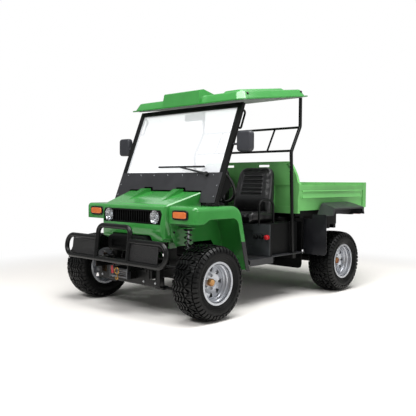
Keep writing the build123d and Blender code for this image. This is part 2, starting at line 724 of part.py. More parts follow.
def nose_solid(inset):
    """The outer form of the nose with its two rounded lobes, drawn in by an inset."""
    x = FRONT_X
    front = x + NOSE_FRONT - inset
    low = NOSE_LOW + inset
    half = INNER_Y - inset
    back = x + BONNET_REAR - inset * 2
    top = BODY_TOP - inset
    mouth = BUMPER_HALF + 8 + inset
    body = soft_side([(front - 24, low, 40), (front, NOSE_LOW + 110, 50),
                      (x + GRILLE_FACE - inset, top, 18), (back, top, 0),
                      (back, top - 70, 0), (x + NOSE_BACK + 20, top - 110, 0), (x + NOSE_BACK + inset,
                                                                                low, 0)], -half, half)
    body &= soft_plan([(back - 5, -half, 0), (front + 3, -half, NOSE_CORNER_R),
                       (front + 3, half, NOSE_CORNER_R),
                       (back - 5, half, 0)], NOSE_LOW - 60, BODY_TOP + 10)
    roof = BUMPER_TOP + inset
    lobes = [(half, BODY_TOP + 10, 0), (half, low, NOSE_LOBE_R - inset),
             (mouth, low, NOSE_MOUTH_R - inset),
             (mouth, roof, NOSE_MOUTH_R)]
    lobes += [(-y, z, radius) for y, z, radius in reversed(lobes)]
    return body & soft_front(lobes, back - 5, front + 10)


def bonnet_crown(inset):
    """The wedge of the bonnet above the fenders, drawn in by an inset."""
    x = FRONT_X
    front = x + GRILLE_FACE - 14 - inset
    rear = x + BONNET_REAR - inset * 2
    low = BODY_TOP - 12
    wedge = side_prism([(front, low), (front, BODY_TOP - inset), (front - 40, BODY_TOP + 16 - inset),
                        (rear, BONNET_REAR_Z - inset), (rear, low)], -600, 600)
    a, b = BONNET_FRONT_HALF - inset, BONNET_REAR_HALF - inset
    plan = soft_plan([(rear - 1, -b, 0), (front + 1, -a, 50), (front + 1, a, 50), (rear - 1, b, 0)],
                     low - 1, BONNET_REAR_Z + 10)
    over = block(rear - 5, front + 5, INNER_Y, 620, low - 5, BODY_TOP + SEAT)
    crown = wedge & plan
    if inset == 0:
        top = crown.faces().filter_by(lambda face: face.normal_at().Z > 0.9).sort_by(SortBy.AREA)[-1]
        crown = chamfer(top.edges().filter_by(lambda edge: abs(edge.center().Y) > a - 20), CROWN_CHAMFER)
    return crown - both(over)


def make_bonnet():
    """The bonnet and nose moulding, open below, with its two ridges and the grille's opening."""
    x = FRONT_X
    wall = BODY_WALL
    shell = nose_solid(0) + bonnet_crown(0)
    ridge_front = x + GRILLE_FACE - 70
    rear = x + BONNET_REAR
    slope = (BONNET_REAR_Z - BODY_TOP - 16) / (GRILLE_FACE - 54 - BONNET_REAR)
    level = BODY_TOP + 16 + slope * 16
    ridge = side_prism([(ridge_front, level - 8), (rear + 40, BONNET_REAR_Z + RIDGE_H),
                        (rear, BONNET_REAR_Z + RIDGE_H),
                        (rear, BONNET_REAR_Z - 10)], RIDGE_Y - RIDGE_W / 2, RIDGE_Y + RIDGE_W / 2)
    ridge &= plan_prism([(ridge_front + 5, RIDGE_Y + 22), (ridge_front + 5, RIDGE_Y - 4),
                         (rear, RIDGE_Y - RIDGE_W / 2),
                         (rear, RIDGE_Y + RIDGE_W / 2)], BODY_TOP - 20, BONNET_REAR_Z + 60)
    shell += both(ridge)
    shell -= nose_solid(wall)
    shell -= bonnet_crown(wall)
    opening = front_prism([(-GRILLE_LOW_HALF, GRILLE_LOW), (GRILLE_LOW_HALF, GRILLE_LOW),
                           (GRILLE_TOP_HALF, GRILLE_TOP - 30),
                           (GRILLE_TOP_HALF - 22, GRILLE_TOP), (-GRILLE_TOP_HALF + 22,
                                                                GRILLE_TOP), (-GRILLE_TOP_HALF,
                                                                              GRILLE_TOP - 30)],
                          x + NOSE_FRONT - 90, x + NOSE_FRONT + 20)
    shell -= opening
    return shell


def make_grille():
    """The black grille plate with its upright slats, set in the nose's opening."""
    x1 = FRONT_X + GRILLE_FACE + 10
    x0 = x1 - GRILLE_DEPTH
    gap = SEAT
    outline = [(-GRILLE_LOW_HALF + gap, GRILLE_LOW + gap), (GRILLE_LOW_HALF - gap, GRILLE_LOW + gap),
               (GRILLE_TOP_HALF - gap, GRILLE_TOP - 30), (GRILLE_TOP_HALF - 22 - gap, GRILLE_TOP - gap),
               (-GRILLE_TOP_HALF + 22 + gap, GRILLE_TOP - gap), (-GRILLE_TOP_HALF + gap, GRILLE_TOP - 30)]
    grille = front_prism(outline, x0, x1)
    grille -= block(x0 + 8, x1 + 1, -LAMP_Y + LAMP_R + 8, LAMP_Y - LAMP_R - 8, GRILLE_LOW + 12,
                    GRILLE_TOP - 12)
    span = 2 * (LAMP_Y - LAMP_R - 8)
    pitch = span / (GRILLE_SLATS + 1)
    for number in range(GRILLE_SLATS):
        y = -span / 2 + pitch * (number + 1)
        grille += block(x0 + 8, x1 - 4, y - SLAT_T / 2, y + SLAT_T / 2, GRILLE_LOW + 12, GRILLE_TOP - 12)
    for y in (-LAMP_Y, LAMP_Y):
        grille -= rod((x0 - 5, y, LAMP_Z), (x1 + 5, y, LAMP_Z), LAMP_R + SEAT)
    return grille


def make_headlamps():
    """The two round headlamps."""
    x1 = FRONT_X + GRILLE_FACE - 2
    lamp = rod((x1 - LAMP_DEPTH, LAMP_Y, LAMP_Z), (x1 - 8, LAMP_Y, LAMP_Z), LAMP_R)
    cone = Solid.make_cone(LAMP_R, LAMP_R - 12, 8, Plane(origin=(x1 - 8, LAMP_Y, LAMP_Z),
                                                         z_dir=(1, 0, 0)))
    return both(lamp + cone)


def make_turn_lamps():
    """The two turn lamps in the fronts of the fenders."""
    x = FRONT_X + FENDER_FRONT + SEAT
    half_w, half_h = TURN_W / 2, TURN_H / 2
    lamp = front_prism([(TURN_Y - half_w, TURN_Z - half_h), (TURN_Y + half_w - 14, TURN_Z - half_h),
                        (TURN_Y + half_w, TURN_Z - half_h + 16),
                        (TURN_Y + half_w, TURN_Z + half_h - 12), (TURN_Y + half_w - 12,
                                                                  TURN_Z + half_h), (TURN_Y - half_w,
                                                                                     TURN_Z + half_h)],
                       x, x + 18)
    return both(lamp)


def fender_form(inset):
    """The left fender's outer form, drawn in by an inset, with its outer edge rounded over."""
    x = FRONT_X
    low = 0 if inset == 0 else 40
    slope = (ARCH_REAR - FLAP_REAR) / (ARCH_TOP - FLAP_LOW)
    rear = x + ARCH_REAR - 22 + inset
    top = BODY_TOP - inset
    front = x + FENDER_FRONT - inset
    y1 = BODY_HALF - inset
    form = soft_side([(front, FENDER_LOW - low, 0), (front, top, FENDER_NOSE_R - inset),
                      (rear + slope * (top - ARCH_TOP), top, FENDER_SWEEP_R - inset),
                      (rear - slope * (ARCH_TOP - FLAP_LOW + low), FLAP_LOW - low, 0),
                      (rear + 60 - slope * (ARCH_TOP - FLAP_LOW), FLAP_LOW - low, 0),
                      (x + ARCH_REAR + 60, ARCH_LIP_LOW, 0), (x + 60, ARCH_LIP_LOW,
                                                              0)], INNER_Y + SEAT + inset, y1)
    rim = form.faces().sort_by(Axis.Y)[-1].edges()

    def goes_over(edge):
        middle = edge.center()
        return middle.Z > ARCH_LIP_LOW + 110 or middle.X < rear - 40 and middle.Z > FLAP_LOW + 60

    over = rim.filter_by(goes_over)
    return fillet(over, FENDER_EDGE_R - inset)


def make_fender():
    """The left front fender: top, outer lip, front, rear wall and inner wall."""
    x = FRONT_X
    wall = BODY_WALL
    y0 = INNER_Y + SEAT
    arch = soft_side([(x + FENDER_FRONT + 20, FENDER_LOW - 300, 0),
                      (x + FENDER_FRONT + 20, FENDER_LOW, 0),
                      (x + ARCH_FRONT + 25, FENDER_LOW, 18), (x + ARCH_FRONT - 45, ARCH_TOP,
                                                              40), (x - 350, ARCH_TOP, 75),
                      (x + ARCH_REAR + 14, ARCH_LIP_LOW + 60, 0), (x + FLAP_REAR + 44, FLAP_LOW - 10, 0),
                      (x + FLAP_REAR + 60, FLAP_LOW - 300, 0)], y0 + wall, BODY_HALF + 10)
    shell = fender_form(0) - fender_form(wall) - arch
    shell -= block(x - 118, x + 62, y0 - 5, y0 + wall + 5, 200, SHOCK_TOP_Z + 34)
    return shell


def make_floor():
    """The floor pan with its side skirts and the sloping toe board."""
    rear = REAR_X + SPLASH_X + SEAT + SPLASH_T
    step = REAR_X + BASE_FRONT - BASE_FACE_T
    wall_slope = (ARCH_REAR - FLAP_REAR) / (ARCH_TOP - FLAP_LOW)
    side_front = FRONT_X + FLAP_REAR - 22 + wall_slope * (FLOOR_Z - FLAP_LOW) - SEAT
    toe_x = FRONT_X - 420
    outline = [(rear, BASE_FACE_HALF - 10), (step, BASE_FACE_HALF - 10), (step, FLOOR_HALF),
               (side_front, FLOOR_HALF),
               (side_front, TOE_HALF), (toe_x, TOE_HALF)]
    plate = plan_prism(outline + [(x, -y) for x, y in reversed(outline)], FLOOR_Z, FLOOR_TOP)
    skirt = block(step, side_front - 12, FLOOR_HALF - FLOOR_T, FLOOR_HALF, FLOOR_Z - FLOOR_SKIRT, FLOOR_Z)
    top = FLOOR_TOP + TOE_RISE
    toe = side_prism([(toe_x - 1, FLOOR_Z), (toe_x, FLOOR_Z), (toe_x + 120, FLOOR_Z + 190),
                      (toe_x + 160, top), (toe_x + 160 - TOE_T, top),
                      (toe_x + 120 - TOE_T, FLOOR_Z + 193), (toe_x - TOE_T,
                                                             FLOOR_TOP - 2)], -TOE_HALF, TOE_HALF)
    return plate + both(skirt) + toe


def make_seat_base():
    """The hollow seat base with its wide front face."""
    x0, x1 = REAR_X + BASE_REAR, REAR_X + BASE_FRONT
    wall = BASE_WALL
    body = block(x0, x1 - BASE_FACE_T, -BASE_HALF, BASE_HALF, FLOOR_TOP, BASE_TOP)
    body -= block(x0 + wall, x1 - BASE_FACE_T - wall, -BASE_HALF + wall, BASE_HALF - wall, FLOOR_TOP - 1,
                  BASE_TOP - wall)
    face = block(x1 - BASE_FACE_T, x1, -BASE_FACE_HALF, BASE_FACE_HALF, FLOOR_TOP, BASE_TOP)
    face = fillet(face.edges().filter_by(Axis.Z).sort_by(Axis.X)[-2:], 16)
    face -= both(block(x1 - 6, x1 + 1, BASE_FACE_HALF - 330, BASE_FACE_HALF - 200, FLOOR_TOP + 90,
                       BASE_TOP - 60))
    return body + face


def make_battery():
    """The battery pack on the floor inside the seat base."""
    x0 = REAR_X + BASE_REAR + BASE_WALL + 20
    return block(x0, x0 + BATTERY_L, -BATTERY_HALF, BATTERY_HALF, FLOOR_TOP, FLOOR_TOP + BATTERY_H)


def make_seat():
    """The left seat: a cushion and a leaning back."""
    front = REAR_X + CUSHION_FRONT
    y0, y1 = SEAT_Y - SEAT_W / 2, SEAT_Y + SEAT_W / 2
    cushion = block(front - SEAT_DEPTH, front, y0, y1, BASE_TOP, BASE_TOP + CUSHION_H)
    cushion = fillet(cushion.edges().filter_by(Axis.Y).sort_by(Axis.X)[-2:], 38)
    lean = tan(radians(BACK_LEAN))
    low = BASE_TOP + 20
    rise = BACK_TOP - low
    foot = front - SEAT_DEPTH + BACK_T * 0.35
    back = side_prism([(foot, low), (foot - rise * lean + 14, BACK_TOP - 16),
                       (foot - rise * lean, BACK_TOP),
                       (foot - rise * lean - BACK_T * 0.55, BACK_TOP), (foot - BACK_T, low)], y0, y1)
    back &= front_prism([(y0 + 15, low - 5), (y1 - 15, low - 5), (y1, low + 180),
                         (y1 - 22, BACK_TOP - 60), (y1 - 80, BACK_TOP + 1),
                         (y0 + 80, BACK_TOP + 1), (y0 + 22, BACK_TOP - 60),
                         (y0, low + 180)], foot - 400, foot + 100)
    return cushion + back


def make_hip_hoops():
    """The two tube loops beside the seats."""
    front = REAR_X + CUSHION_FRONT - 60
    rear = front - 210
    y = HOOP_Y
    hoop = tube([(front, y, BASE_TOP), (front, y, HOOP_TOP), (rear, y, HOOP_TOP), (rear, y, BASE_TOP)],
                HOOP_R, 55)
    return both(hoop)


def screen_plane(push):
    """The plane of the windscreen, moved forward along its normal; its own X is the vehicle's left."""
    rake = radians(SCREEN_RAKE)
    normal = Vector(cos(rake), 0, sin(rake))
    foot = Vector(FRONT_X + PILLAR_FOOT, 0, BODY_TOP + SEAT)
    return Plane(origin=foot + normal * push, x_dir=(0, 1, 0), z_dir=normal)


def along_screen(z):
    """The distance up the screen at a given height."""
    return (z - BODY_TOP - SEAT) / cos(radians(SCREEN_RAKE))


def screen_plate(points, push, thick):
    """A plate in the windscreen's plane from points of (left, up)."""
    return extrude(screen_plane(push) * make_face(Polyline(*points, close=True)), amount=thick)


def make_screen_frame():
    """The windscreen's frame: two pillars, the header and the sill behind the panel."""
    top = along_screen(SCREEN_TOP)
    sill = along_screen(PANEL_TOP)
    half = SCREEN_HALF
    low = 14.0
    frame = screen_plate([(-half, low), (half, low), (half, top), (-half, top)], -PILLAR_T, PILLAR_T)
    inner = half - PILLAR_W
    frame -= screen_plate([(-inner, low - 1), (inner, low - 1), (inner, sill - 34), (-inner, sill - 34)],
                          -PILLAR_T - 1, PILLAR_T + 2)
    frame -= screen_plate([(-inner, sill), (inner, sill), (inner, top - HEADER_H),
                           (-inner, top - HEADER_H)], -PILLAR_T - 1, PILLAR_T + 2)
    foot_x = FRONT_X + PILLAR_FOOT
    frame += both(block(foot_x - 70, foot_x + 25, half - PILLAR_W, half, BODY_TOP, BODY_TOP + 16))
    return frame


def make_screen_panel():
    """The black panel between the bonnet and the glass, cut to clear the bonnet and its ridges."""
    half = SCREEN_HALF - PILLAR_W
    top = along_screen(PANEL_TOP)
    low = along_screen(BODY_TOP + 24)
    over = along_screen(BONNET_REAR_Z + PANEL_GAP)
    ridge = along_screen(BONNET_REAR_Z + RIDGE_H + PANEL_GAP)
    wide = BONNET_REAR_HALF + PANEL_GAP + 4
    r0, r1 = RIDGE_Y - RIDGE_W / 2 - 14, RIDGE_Y + RIDGE_W / 2 + 14
    side = [(half + 40, top), (half + 40, low), (wide, low), (wide - 10, over), (r1 + 8, over),
            (r1 - 8, ridge), (r0 + 8, ridge), (r0 - 8, over)]
    return screen_plate(side + [(-y, s) for y, s in reversed(side)], SEAT, PANEL_T)


def make_screen_glass():
    """The windscreen's glass in its frame."""
    half = SCREEN_HALF - PILLAR_W - SEAT
    low = along_screen(PANEL_TOP) + SEAT
    top = along_screen(SCREEN_TOP) - HEADER_H - SEAT
    return screen_plate([(-half, low), (half, low), (half, top), (-half, top)], -PILLAR_T / 2, GLASS_T)


def make_wiper():
    """The wiper's motor cover, arm and blade on the panel."""
    push = SEAT + PANEL_T + SEAT
    s = along_screen(PANEL_TOP) - 18
    tall = along_screen(PANEL_TOP) + 40
    boss = extrude(screen_plane(push) * Pos(470, s) * Circle(18), amount=24)
    arm = screen_plate([(470, s - 8), (478, s + 8), (140, tall + 8), (140, tall - 4)], push + 12, 8)
    blade = screen_plate([(420, tall + 2), (420, tall + 16), (-140, tall + 16), (-140, tall + 2)],
                         push + 2, 11)
    return boss + arm + blade


def make_grab_handles():
    """The two loop handles inside the pillars."""
    plane = screen_plane(-PILLAR_T - SEAT)
    base = along_screen(1530)
    y = SCREEN_HALF - PILLAR_W / 2
    corners = ((base, 0), (base, -48), (base + 160, -48), (base + 160, 0))
    points = [tuple(plane.from_local_coords(Vector(y, along, deep))) for along, deep in corners]
    return both(tube(points, 9, 22))


def make_side_mirrors():
    """The two door-less mirrors on their arms."""
    x, z = REAR_X + MIRROR_X, MIRROR_Z
    y0, y1 = MIRROR_Y - MIRROR_W / 2, MIRROR_Y + MIRROR_W / 2
    shell = block(x - MIRROR_T / 2, x + MIRROR_T / 2, y0, y1, z - MIRROR_H / 2, z + MIRROR_H / 2)
    shell = fillet(shell.edges().filter_by(Axis.X), 32)
    shell = fillet(shell.faces().sort_by(Axis.X)[-1].edges(), 16)
    shell -= Pos(x - MIRROR_T / 2, MIRROR_Y, z) * Box(12, MIRROR_W - 24, MIRROR_H - 24)
    arm = rod((x + 12, SCREEN_HALF + SEAT, z - 20), (x + 12, y0 + 20, z - 20), 9)
    return both(shell + arm)


def make_cabin_mirror():
    """The inside mirror under the header."""
    header = screen_plane(-PILLAR_T).from_local_coords(Vector(0, along_screen(SCREEN_TOP) - HEADER_H / 2,
                                                              0))
    x, z = header.X, header.Z
    glass = block(x - 62, x - 40, -110, 110, z - 78, z - 18)
    glass = fillet(glass.edges().filter_by(Axis.X), 16)
    normal = screen_plane(0).z_dir
    return glass + rod(tuple(header - normal * 60), tuple(header - normal * SEAT), 7)


def roof_place():
    """The roof's own frame: its X runs forward along the pitched roof from the front edge."""
    return Pos(REAR_X + ROOF_FRONT, 0, ROOF_FRONT_Z) * Rot(0, ROOF_PITCH, 0)


def make_roof():
    """The pitched moulded roof: thin brim, rounded crown, two long ribs and the front sign box."""
    length = (ROOF_FRONT - ROOF_REAR) / cos(radians(ROOF_PITCH))
    width = 2 * ROOF_HALF
    middle = -length / 2
    brim = extrude(Pos(middle, 0, 0) * RectangleRounded(length, width, ROOF_CORNER), amount=ROOF_EDGE)
    inset = 2 * ROOF_BRIM
    low = Pos(middle, 0, 0) * RectangleRounded(length - inset, width - inset, ROOF_CORNER - ROOF_BRIM)
    top = ROOF_EDGE + ROOF_CROWN
    high = Pos(middle - 8, 0, top) * RectangleRounded(length - 2 * ROOF_DRAFT, width - 2 * ROOF_DRAFT,
                                                      ROOF_CORNER - 30)
    crown = loft([low.face(), high.face()])
    crown = fillet(crown.faces().sort_by(Axis.Z)[-1].edges(), ROOF_SOFT_R)
    rib_low = Pos(middle - 60, 395, top - 12) * RectangleRounded(length - 320, 262, 44)
    rib_high = Pos(middle - 60, 395, top + ROOF_RIB_H) * RectangleRounded(length - 400, 180, 30)
    rib = loft([rib_low.face(), rib_high.face()])
    rib = fillet(rib.faces().sort_by(Axis.Z)[-1].edges(), ROOF_SOFT_R / 2)
    sign = soft_side([(-2, 2, 0), (-30, SIGN_TOP, 14), (-90, SIGN_TOP + 4, 20), (-SIGN_L, top - 4, 0),
                      (-SIGN_L, 2, 0)],
                     -SIGN_HALF, SIGN_HALF)
    sign &= soft_front([(-SIGN_HALF - 8, 0, 0), (SIGN_HALF + 8, 0, 0), (SIGN_HALF - 14, SIGN_TOP + 10, 0),
                        (-SIGN_HALF + 14, SIGN_TOP + 10, 0)], -SIGN_L - 10, 10)
    return roof_place() * (brim + crown + both(rib) + sign)


def make_roof_liner():
    """The flat pale lining under the roof."""
    length = (ROOF_FRONT - ROOF_REAR) / cos(radians(ROOF_PITCH))
    liner = extrude(Pos(-length / 2 - 10, 0, -LINER_T) * RectangleRounded(length - 110, 2 * POST_Y + 70,
                                                                          40), amount=LINER_T)
    return roof_place() * liner


def roof_under(x):
    """The height of the lining's lower face at a given place."""
    pitch = radians(ROOF_PITCH)
    return ROOF_FRONT_Z - LINER_T / cos(pitch) + (REAR_X + ROOF_FRONT - x) * tan(pitch)


def make_rear_guard():
    """The two bent posts behind the seats, with their cross bars and struts."""
    y = POST_Y
    top_x = REAR_X + POST_HIGH_X
    top = roof_under(top_x + POST_R) - SEAT
    post = tube([(REAR_X + POST_LOW_X, y, FLOOR_TOP + 5), (REAR_X + POST_KNEE_X, y, POST_KNEE_Z),
                 (top_x, y, POST_HIGH_Z), (top_x, y, top)],
                POST_R, POST_BEND)
    foot = block(REAR_X + POST_LOW_X - 30, REAR_X + POST_LOW_X + 30, BASE_HALF + 2, y + 24, FLOOR_TOP,
                 FLOOR_TOP + 8)
    low = (REAR_X + POST_KNEE_X - 8, POST_KNEE_Z + 12)
    high = (top_x + 8, POST_HIGH_Z - 8)
    strut = rod((low[0], STRUT_Y, low[1]), (high[0], STRUT_Y, high[1]), GUARD_R - 2)
    frame = both(post + foot + strut)
    frame += rod((low[0], -y, low[1]), (low[0], y, low[1]), GUARD_R)
    frame += rod((high[0], -y, high[1]), (high[0], y, high[1]), GUARD_R)
    return frame


def make_dashboard():
    """The moulded dashboard behind the panel, between the pillars."""
    plane = screen_plane(-PILLAR_T - SEAT)
    low, high = along_screen(DASH_LOW), along_screen(DASH_TOP)
    a = plane.from_local_coords(Vector(0, low, 0))
    b = plane.from_local_coords(Vector(0, high, 0))
    dash = side_prism([(a.X, a.Z), (b.X, b.Z), (b.X - 50, b.Z + 6), (b.X - DASH_DEPTH + 20, b.Z - 40),
                       (b.X - DASH_DEPTH, b.Z - 90),
                       (a.X - DASH_DEPTH * 0.7, a.Z + 20), (a.X - 60, a.Z)], -DASH_HALF, DASH_HALF)
    bracket_x = REAR_X + COLUMN_BRACKET_X
    bracket = block(bracket_x - 25, bracket_x + 25, SEAT_Y - 34, SEAT_Y + 34, COLUMN_BRACKET_Z, b.Z - 80)
    hub = Vector(REAR_X + WHEEL_X, SEAT_Y, WHEEL_Z)
    bore = rod(tuple(hub), tuple(hub - column_axis() * 420), COLUMN_R + SEAT)
    return dash + bracket - bore


def column_axis():
    """The steering column's direction, from the dashboard back to the wheel."""
    rake = radians(COLUMN_RAKE)
    return Vector(-cos(rake), 0, sin(rake))


def make_column():
    """The steering column, held under the dashboard by its bracket."""
    hub = Vector(REAR_X + WHEEL_X, SEAT_Y, WHEEL_Z)
    along = column_axis()
    return rod(tuple(hub - along * COLUMN_L), tuple(hub - along * 22), COLUMN_R)


def make_steering_wheel():
    """The steering wheel with three spokes and its boss."""
    hub = Vector(REAR_X + WHEEL_X, SEAT_Y, WHEEL_Z)
    place = Plane(origin=hub, x_dir=(0, 1, 0), z_dir=column_axis())
    rim = Torus(WHEEL_R, WHEEL_GRIP_R)
    boss = Pos(0, 0, -8) * Cylinder(38, 26)
    wheel = rim + boss
    for angle in (0, 90, 180):
        wheel += Rot(0, 0, angle) * Pos(WHEEL_R / 2 + 8, 0, -6) * Box(WHEEL_R - 20, 26, 9)
    return place * wheel


def make_pedals():
    """The two pedals on the toe board."""
    toe_x = FRONT_X - 420
    z = FLOOR_TOP + 150
    x = toe_x + 95
    pedal = None
    for y in (SEAT_Y - 120, SEAT_Y + 10):
        arm = side_prism([(x + 14, z + 20), (x - 12, z + 20), (x - 70, z - 30), (x - 58, z - 38)], y - 8,
                         y + 8)
        pad = side_prism([(x - 76, z - 62), (x - 70, z - 66), (x - 50, z - 6), (x - 58, z - 2)], y - 32,
                         y + 32)
        pedal = arm + pad if pedal is None else pedal + arm + pad
    return pedal - make_floor()


def make_knobs():
    """The round control knobs on the seat base's face."""
    x = REAR_X + BASE_FRONT
    z = FLOOR_TOP + 170
    knobs = None
    for y in (KNOB_Y, KNOB_Y - KNOB_PITCH, KNOB_Y - 2 * KNOB_PITCH):
        knob = rod((x, y, z), (x + KNOB_L, y, z), KNOB_R)
        knobs = knob if knobs is None else knobs + knob
    return knobs


def make_bed():
    """The bed: floor, stepped side boards and the tall headboard with its slots."""
    front, rear = REAR_X + HEADBOARD_X, REAR_X + BED_REAR
    half = BED_HALF
    t, step = BED_SIDE_T, BED_STEP
    low, top = BED_FLOOR_Z, BED_SIDE_TOP
    board_back = front - HEADBOARD_T
    floor = block(rear, board_back, -half + t, half - t, low, low + BED_FLOOR_T)
    section = [(half - t, low), (half - 2 * step, low), (half - 2 * step, low + 108),
               (half - step, low + 118),
               (half - step, top - 58), (half, top - 48), (half, top), (half - t, top)]
    side = front_prism(section, rear, board_back)
    outline = [(half - 2 * step, low - 25), (half - 2 * step, low + 108), (half, top - 48),
               (half, BOARD_SHOULDER_Z - 18), (half - 18, BOARD_SHOULDER_Z),
               (half - 36, BOARD_SHOULDER_Z + 60), (BOARD_TOP_HALF + 62,
                                                    BOARD_TOP_Z - 72), (BOARD_TOP_HALF + 26,
                                                                        BOARD_TOP_Z - 16),
               (BOARD_TOP_HALF, BOARD_TOP_Z)]
    board = front_prism(outline + [(-y, z) for y, z in reversed(outline)], board_back, front)
    slot_z = BOARD_TOP_Z - 40
    for y in (-BOARD_SLOT_Y, BOARD_SLOT_Y):
        board -= block(board_back - 5, front + 5, y - BOARD_SLOT_W / 2, y + BOARD_SLOT_W / 2,
                       slot_z - BOARD_SLOT_H / 2, slot_z + BOARD_SLOT_H / 2)
    corner = front_prism([(BOARD_TOP_HALF - 24, BOARD_TOP_Z - 22), (BOARD_TOP_HALF, BOARD_TOP_Z - 26),
                          (BOARD_TOP_HALF + 34, BOARD_TOP_Z - 76),
                          (BOARD_TOP_HALF + 20, BOARD_TOP_Z - 84)], board_back - 5, front + 5)
    board -= both(corner)
    board -= block(front - 14, front + 1, -half + 90, half - 90, low + 40, BOARD_SHOULDER_Z - 30)
    ribs = None
    for y in (-330, 0, 330):
        rib = block(front - 14, front, y - 30, y + 30, low + 40, BOARD_SHOULDER_Z - 30)
        ribs = rib if ribs is None else ribs + rib
    bed = floor + both(side) + board + ribs
    pin_z = GATE_PIN_Z
    pin_x = rear - GATE_GAP - GATE_T + GATE_LUG_R
    lug = rod((pin_x, half - t - 22, pin_z), (pin_x, half - t - 10, pin_z), GATE_LUG_R - 2)
    lug += block(pin_x, rear + 60, half - t - 22, half - t - 10, pin_z - 12, low)
    pin = rod((pin_x, half - t - 22, pin_z), (pin_x, half - t + 14, pin_z), GATE_PIN_R)
    return bed + both(lug + pin)


def make_bed_frame():
    """The bed's own frame: two long rails, cross bars and the tipping lugs."""
    front, rear = REAR_X + HEADBOARD_X - HEADBOARD_T, REAR_X + BED_REAR + 70
    top = BED_FLOOR_Z
    low = top - BED_RAIL_H
    y0, y1 = BED_RAIL_Y - BED_RAIL_W / 2, BED_RAIL_Y + BED_RAIL_W / 2
    rail = block(rear, front, y0, y1, low, top)
    frame = both(rail)
    for x in (REAR_X + RAIL_REAR, REAR_X - 60, REAR_X + TIP_X - 30):
        frame += block(x, x + 60, -y1, y1, low - BED_CROSS_H, low + 20)
    x, z = REAR_X + TIP_X, TIP_Z
    lug = rod((x, RAIL_Y + 18, z), (x, RAIL_Y + 50, z), TIP_LUG_R)
    lug += block(x - TIP_LUG_R, x + TIP_LUG_R, RAIL_Y + 18, RAIL_Y + 50, z, low - BED_CROSS_H)
    frame += both(lug)
    return frame - both(rod((x, RAIL_Y, z), (x, RAIL_Y + 70, z), TIP_PIN_R + RUN))


def make_tailgate():
    """The drop gate behind the bed, hinged on its lower pins."""
    x1 = REAR_X + BED_REAR - GATE_GAP
    x0 = x1 - GATE_T
    half = BED_HALF
    low = BED_FLOOR_Z + 2
    gate = block(x0, x1, -half, half, low, GATE_TOP)
    gate -= block(x0 - 1, x0 + 10, -half + 60, half - 60, low + 50, GATE_TOP - 50)
    pin_z = GATE_PIN_Z
    pin_x = x0 + GATE_LUG_R
    y0 = half - BED_SIDE_T - 10 + 5
    knuckle = rod((pin_x, y0, pin_z), (pin_x, y0 + 22, pin_z), GATE_LUG_R)
    knuckle += block(pin_x - GATE_LUG_R, pin_x + GATE_LUG_R, y0, y0 + 22, pin_z, low)
    gate += both(knuckle)
    return gate - both(rod((pin_x, y0 - 8, pin_z), (pin_x, y0 + 20, pin_z), GATE_PIN_R + RUN))


def make_mudguard():
    """The left rear mudguard with the shield ahead of the wheel."""
    x0, x1 = REAR_X + GUARD_REAR, REAR_X + GUARD_FRONT
    drop = GUARD_DROP
    bend = GUARD_BEND_R
    profile = [(x0, drop, 0), (x0 + 40, GUARD_TOP_IN, bend / 2), (x1 - 80, GUARD_TOP_IN, bend),
               (x1, drop, 0)]
    solid = soft_side(profile, GUARD_IN, GUARD_OUT)
    roof = front_prism([(GUARD_IN, drop - 10), (GUARD_OUT, drop - 10), (GUARD_OUT, GUARD_TOP_OUT),
                        (GUARD_OUT - 20, GUARD_TOP_OUT + 8),
                        (GUARD_IN, GUARD_TOP_IN)], x0 - 5, x1 + 5)
    solid &= roof
    t = GUARD_T
    hollow = soft_side([(x0 + t, drop - 5, 0), (x0 + 40 + t, GUARD_TOP_IN - t, bend / 2 - t),
                        (x1 - 80 - t, GUARD_TOP_IN - t, bend - t), (x1 - t, drop - 5,
                                                                    0)], GUARD_IN + t, GUARD_OUT - t)
    hollow &= front_prism([(GUARD_IN, drop - 10), (GUARD_OUT, drop - 10), (GUARD_OUT, GUARD_TOP_OUT - t),
                           (GUARD_OUT - 20, GUARD_TOP_OUT + 8 - t),
                           (GUARD_IN, GUARD_TOP_IN - t)], x0 - 5, x1 + 5)
    guard = solid - hollow
    guard -= soft_side([(x0 + 22, drop - 5, 0), (x0 + 48, GUARD_TOP_OUT - GUARD_LIP, 16),
                        (x1 - 80, GUARD_TOP_OUT - GUARD_LIP, bend / 2), (x1 - 26, drop - 5, 0)],
                       GUARD_OUT - 2 * t, GUARD_OUT + 5)
    shield_x = REAR_X + SHIELD_X
    shield = front_prism([(SHIELD_IN, SHIELD_LOW), (GUARD_OUT - 30, SHIELD_LOW),
                          (GUARD_OUT - 8, SHIELD_LOW + 25), (GUARD_OUT - 12, drop + 12), (GUARD_IN,
                                                                                          drop + 12),
                          (GUARD_IN, SHIELD_TOP), (SHIELD_IN, SHIELD_TOP)],
                         shield_x - t, shield_x)
    link = block(x1 - 8, shield_x, GUARD_IN + 10, GUARD_OUT - 12, drop, drop + t)
    return guard + shield + link


def make_splash_panel():
    """The cross panel behind the seat base, with rounded lower corners."""
    x = REAR_X + SPLASH_X
    half = SPLASH_HALF
    low = SPLASH_LOW
    panel = front_prism([(-half + 40, low), (half - 40, low), (half - 10, low + 12), (half, low + 45),
                         (half, BASE_TOP), (-half, BASE_TOP),
                         (-half, low + 45), (-half + 10, low + 12)], x, x + SPLASH_T)
    rail = RAIL_W / 2 + 4
    panel -= both(block(x - 5, x + 20, RAIL_Y - rail, RAIL_Y + rail, RAIL_Z - 4, RAIL_Z + RAIL_H + 4))
    return panel


def make_tail_lamps():
    """The two tail lamps on the mudguards' rear ends."""
    x0 = REAR_X + GUARD_REAR
    lamp = block(x0 - 24, x0 - SEAT, GUARD_IN + 30, GUARD_IN + 110, GUARD_DROP - 6, GUARD_DROP + 44)
    return both(lamp)


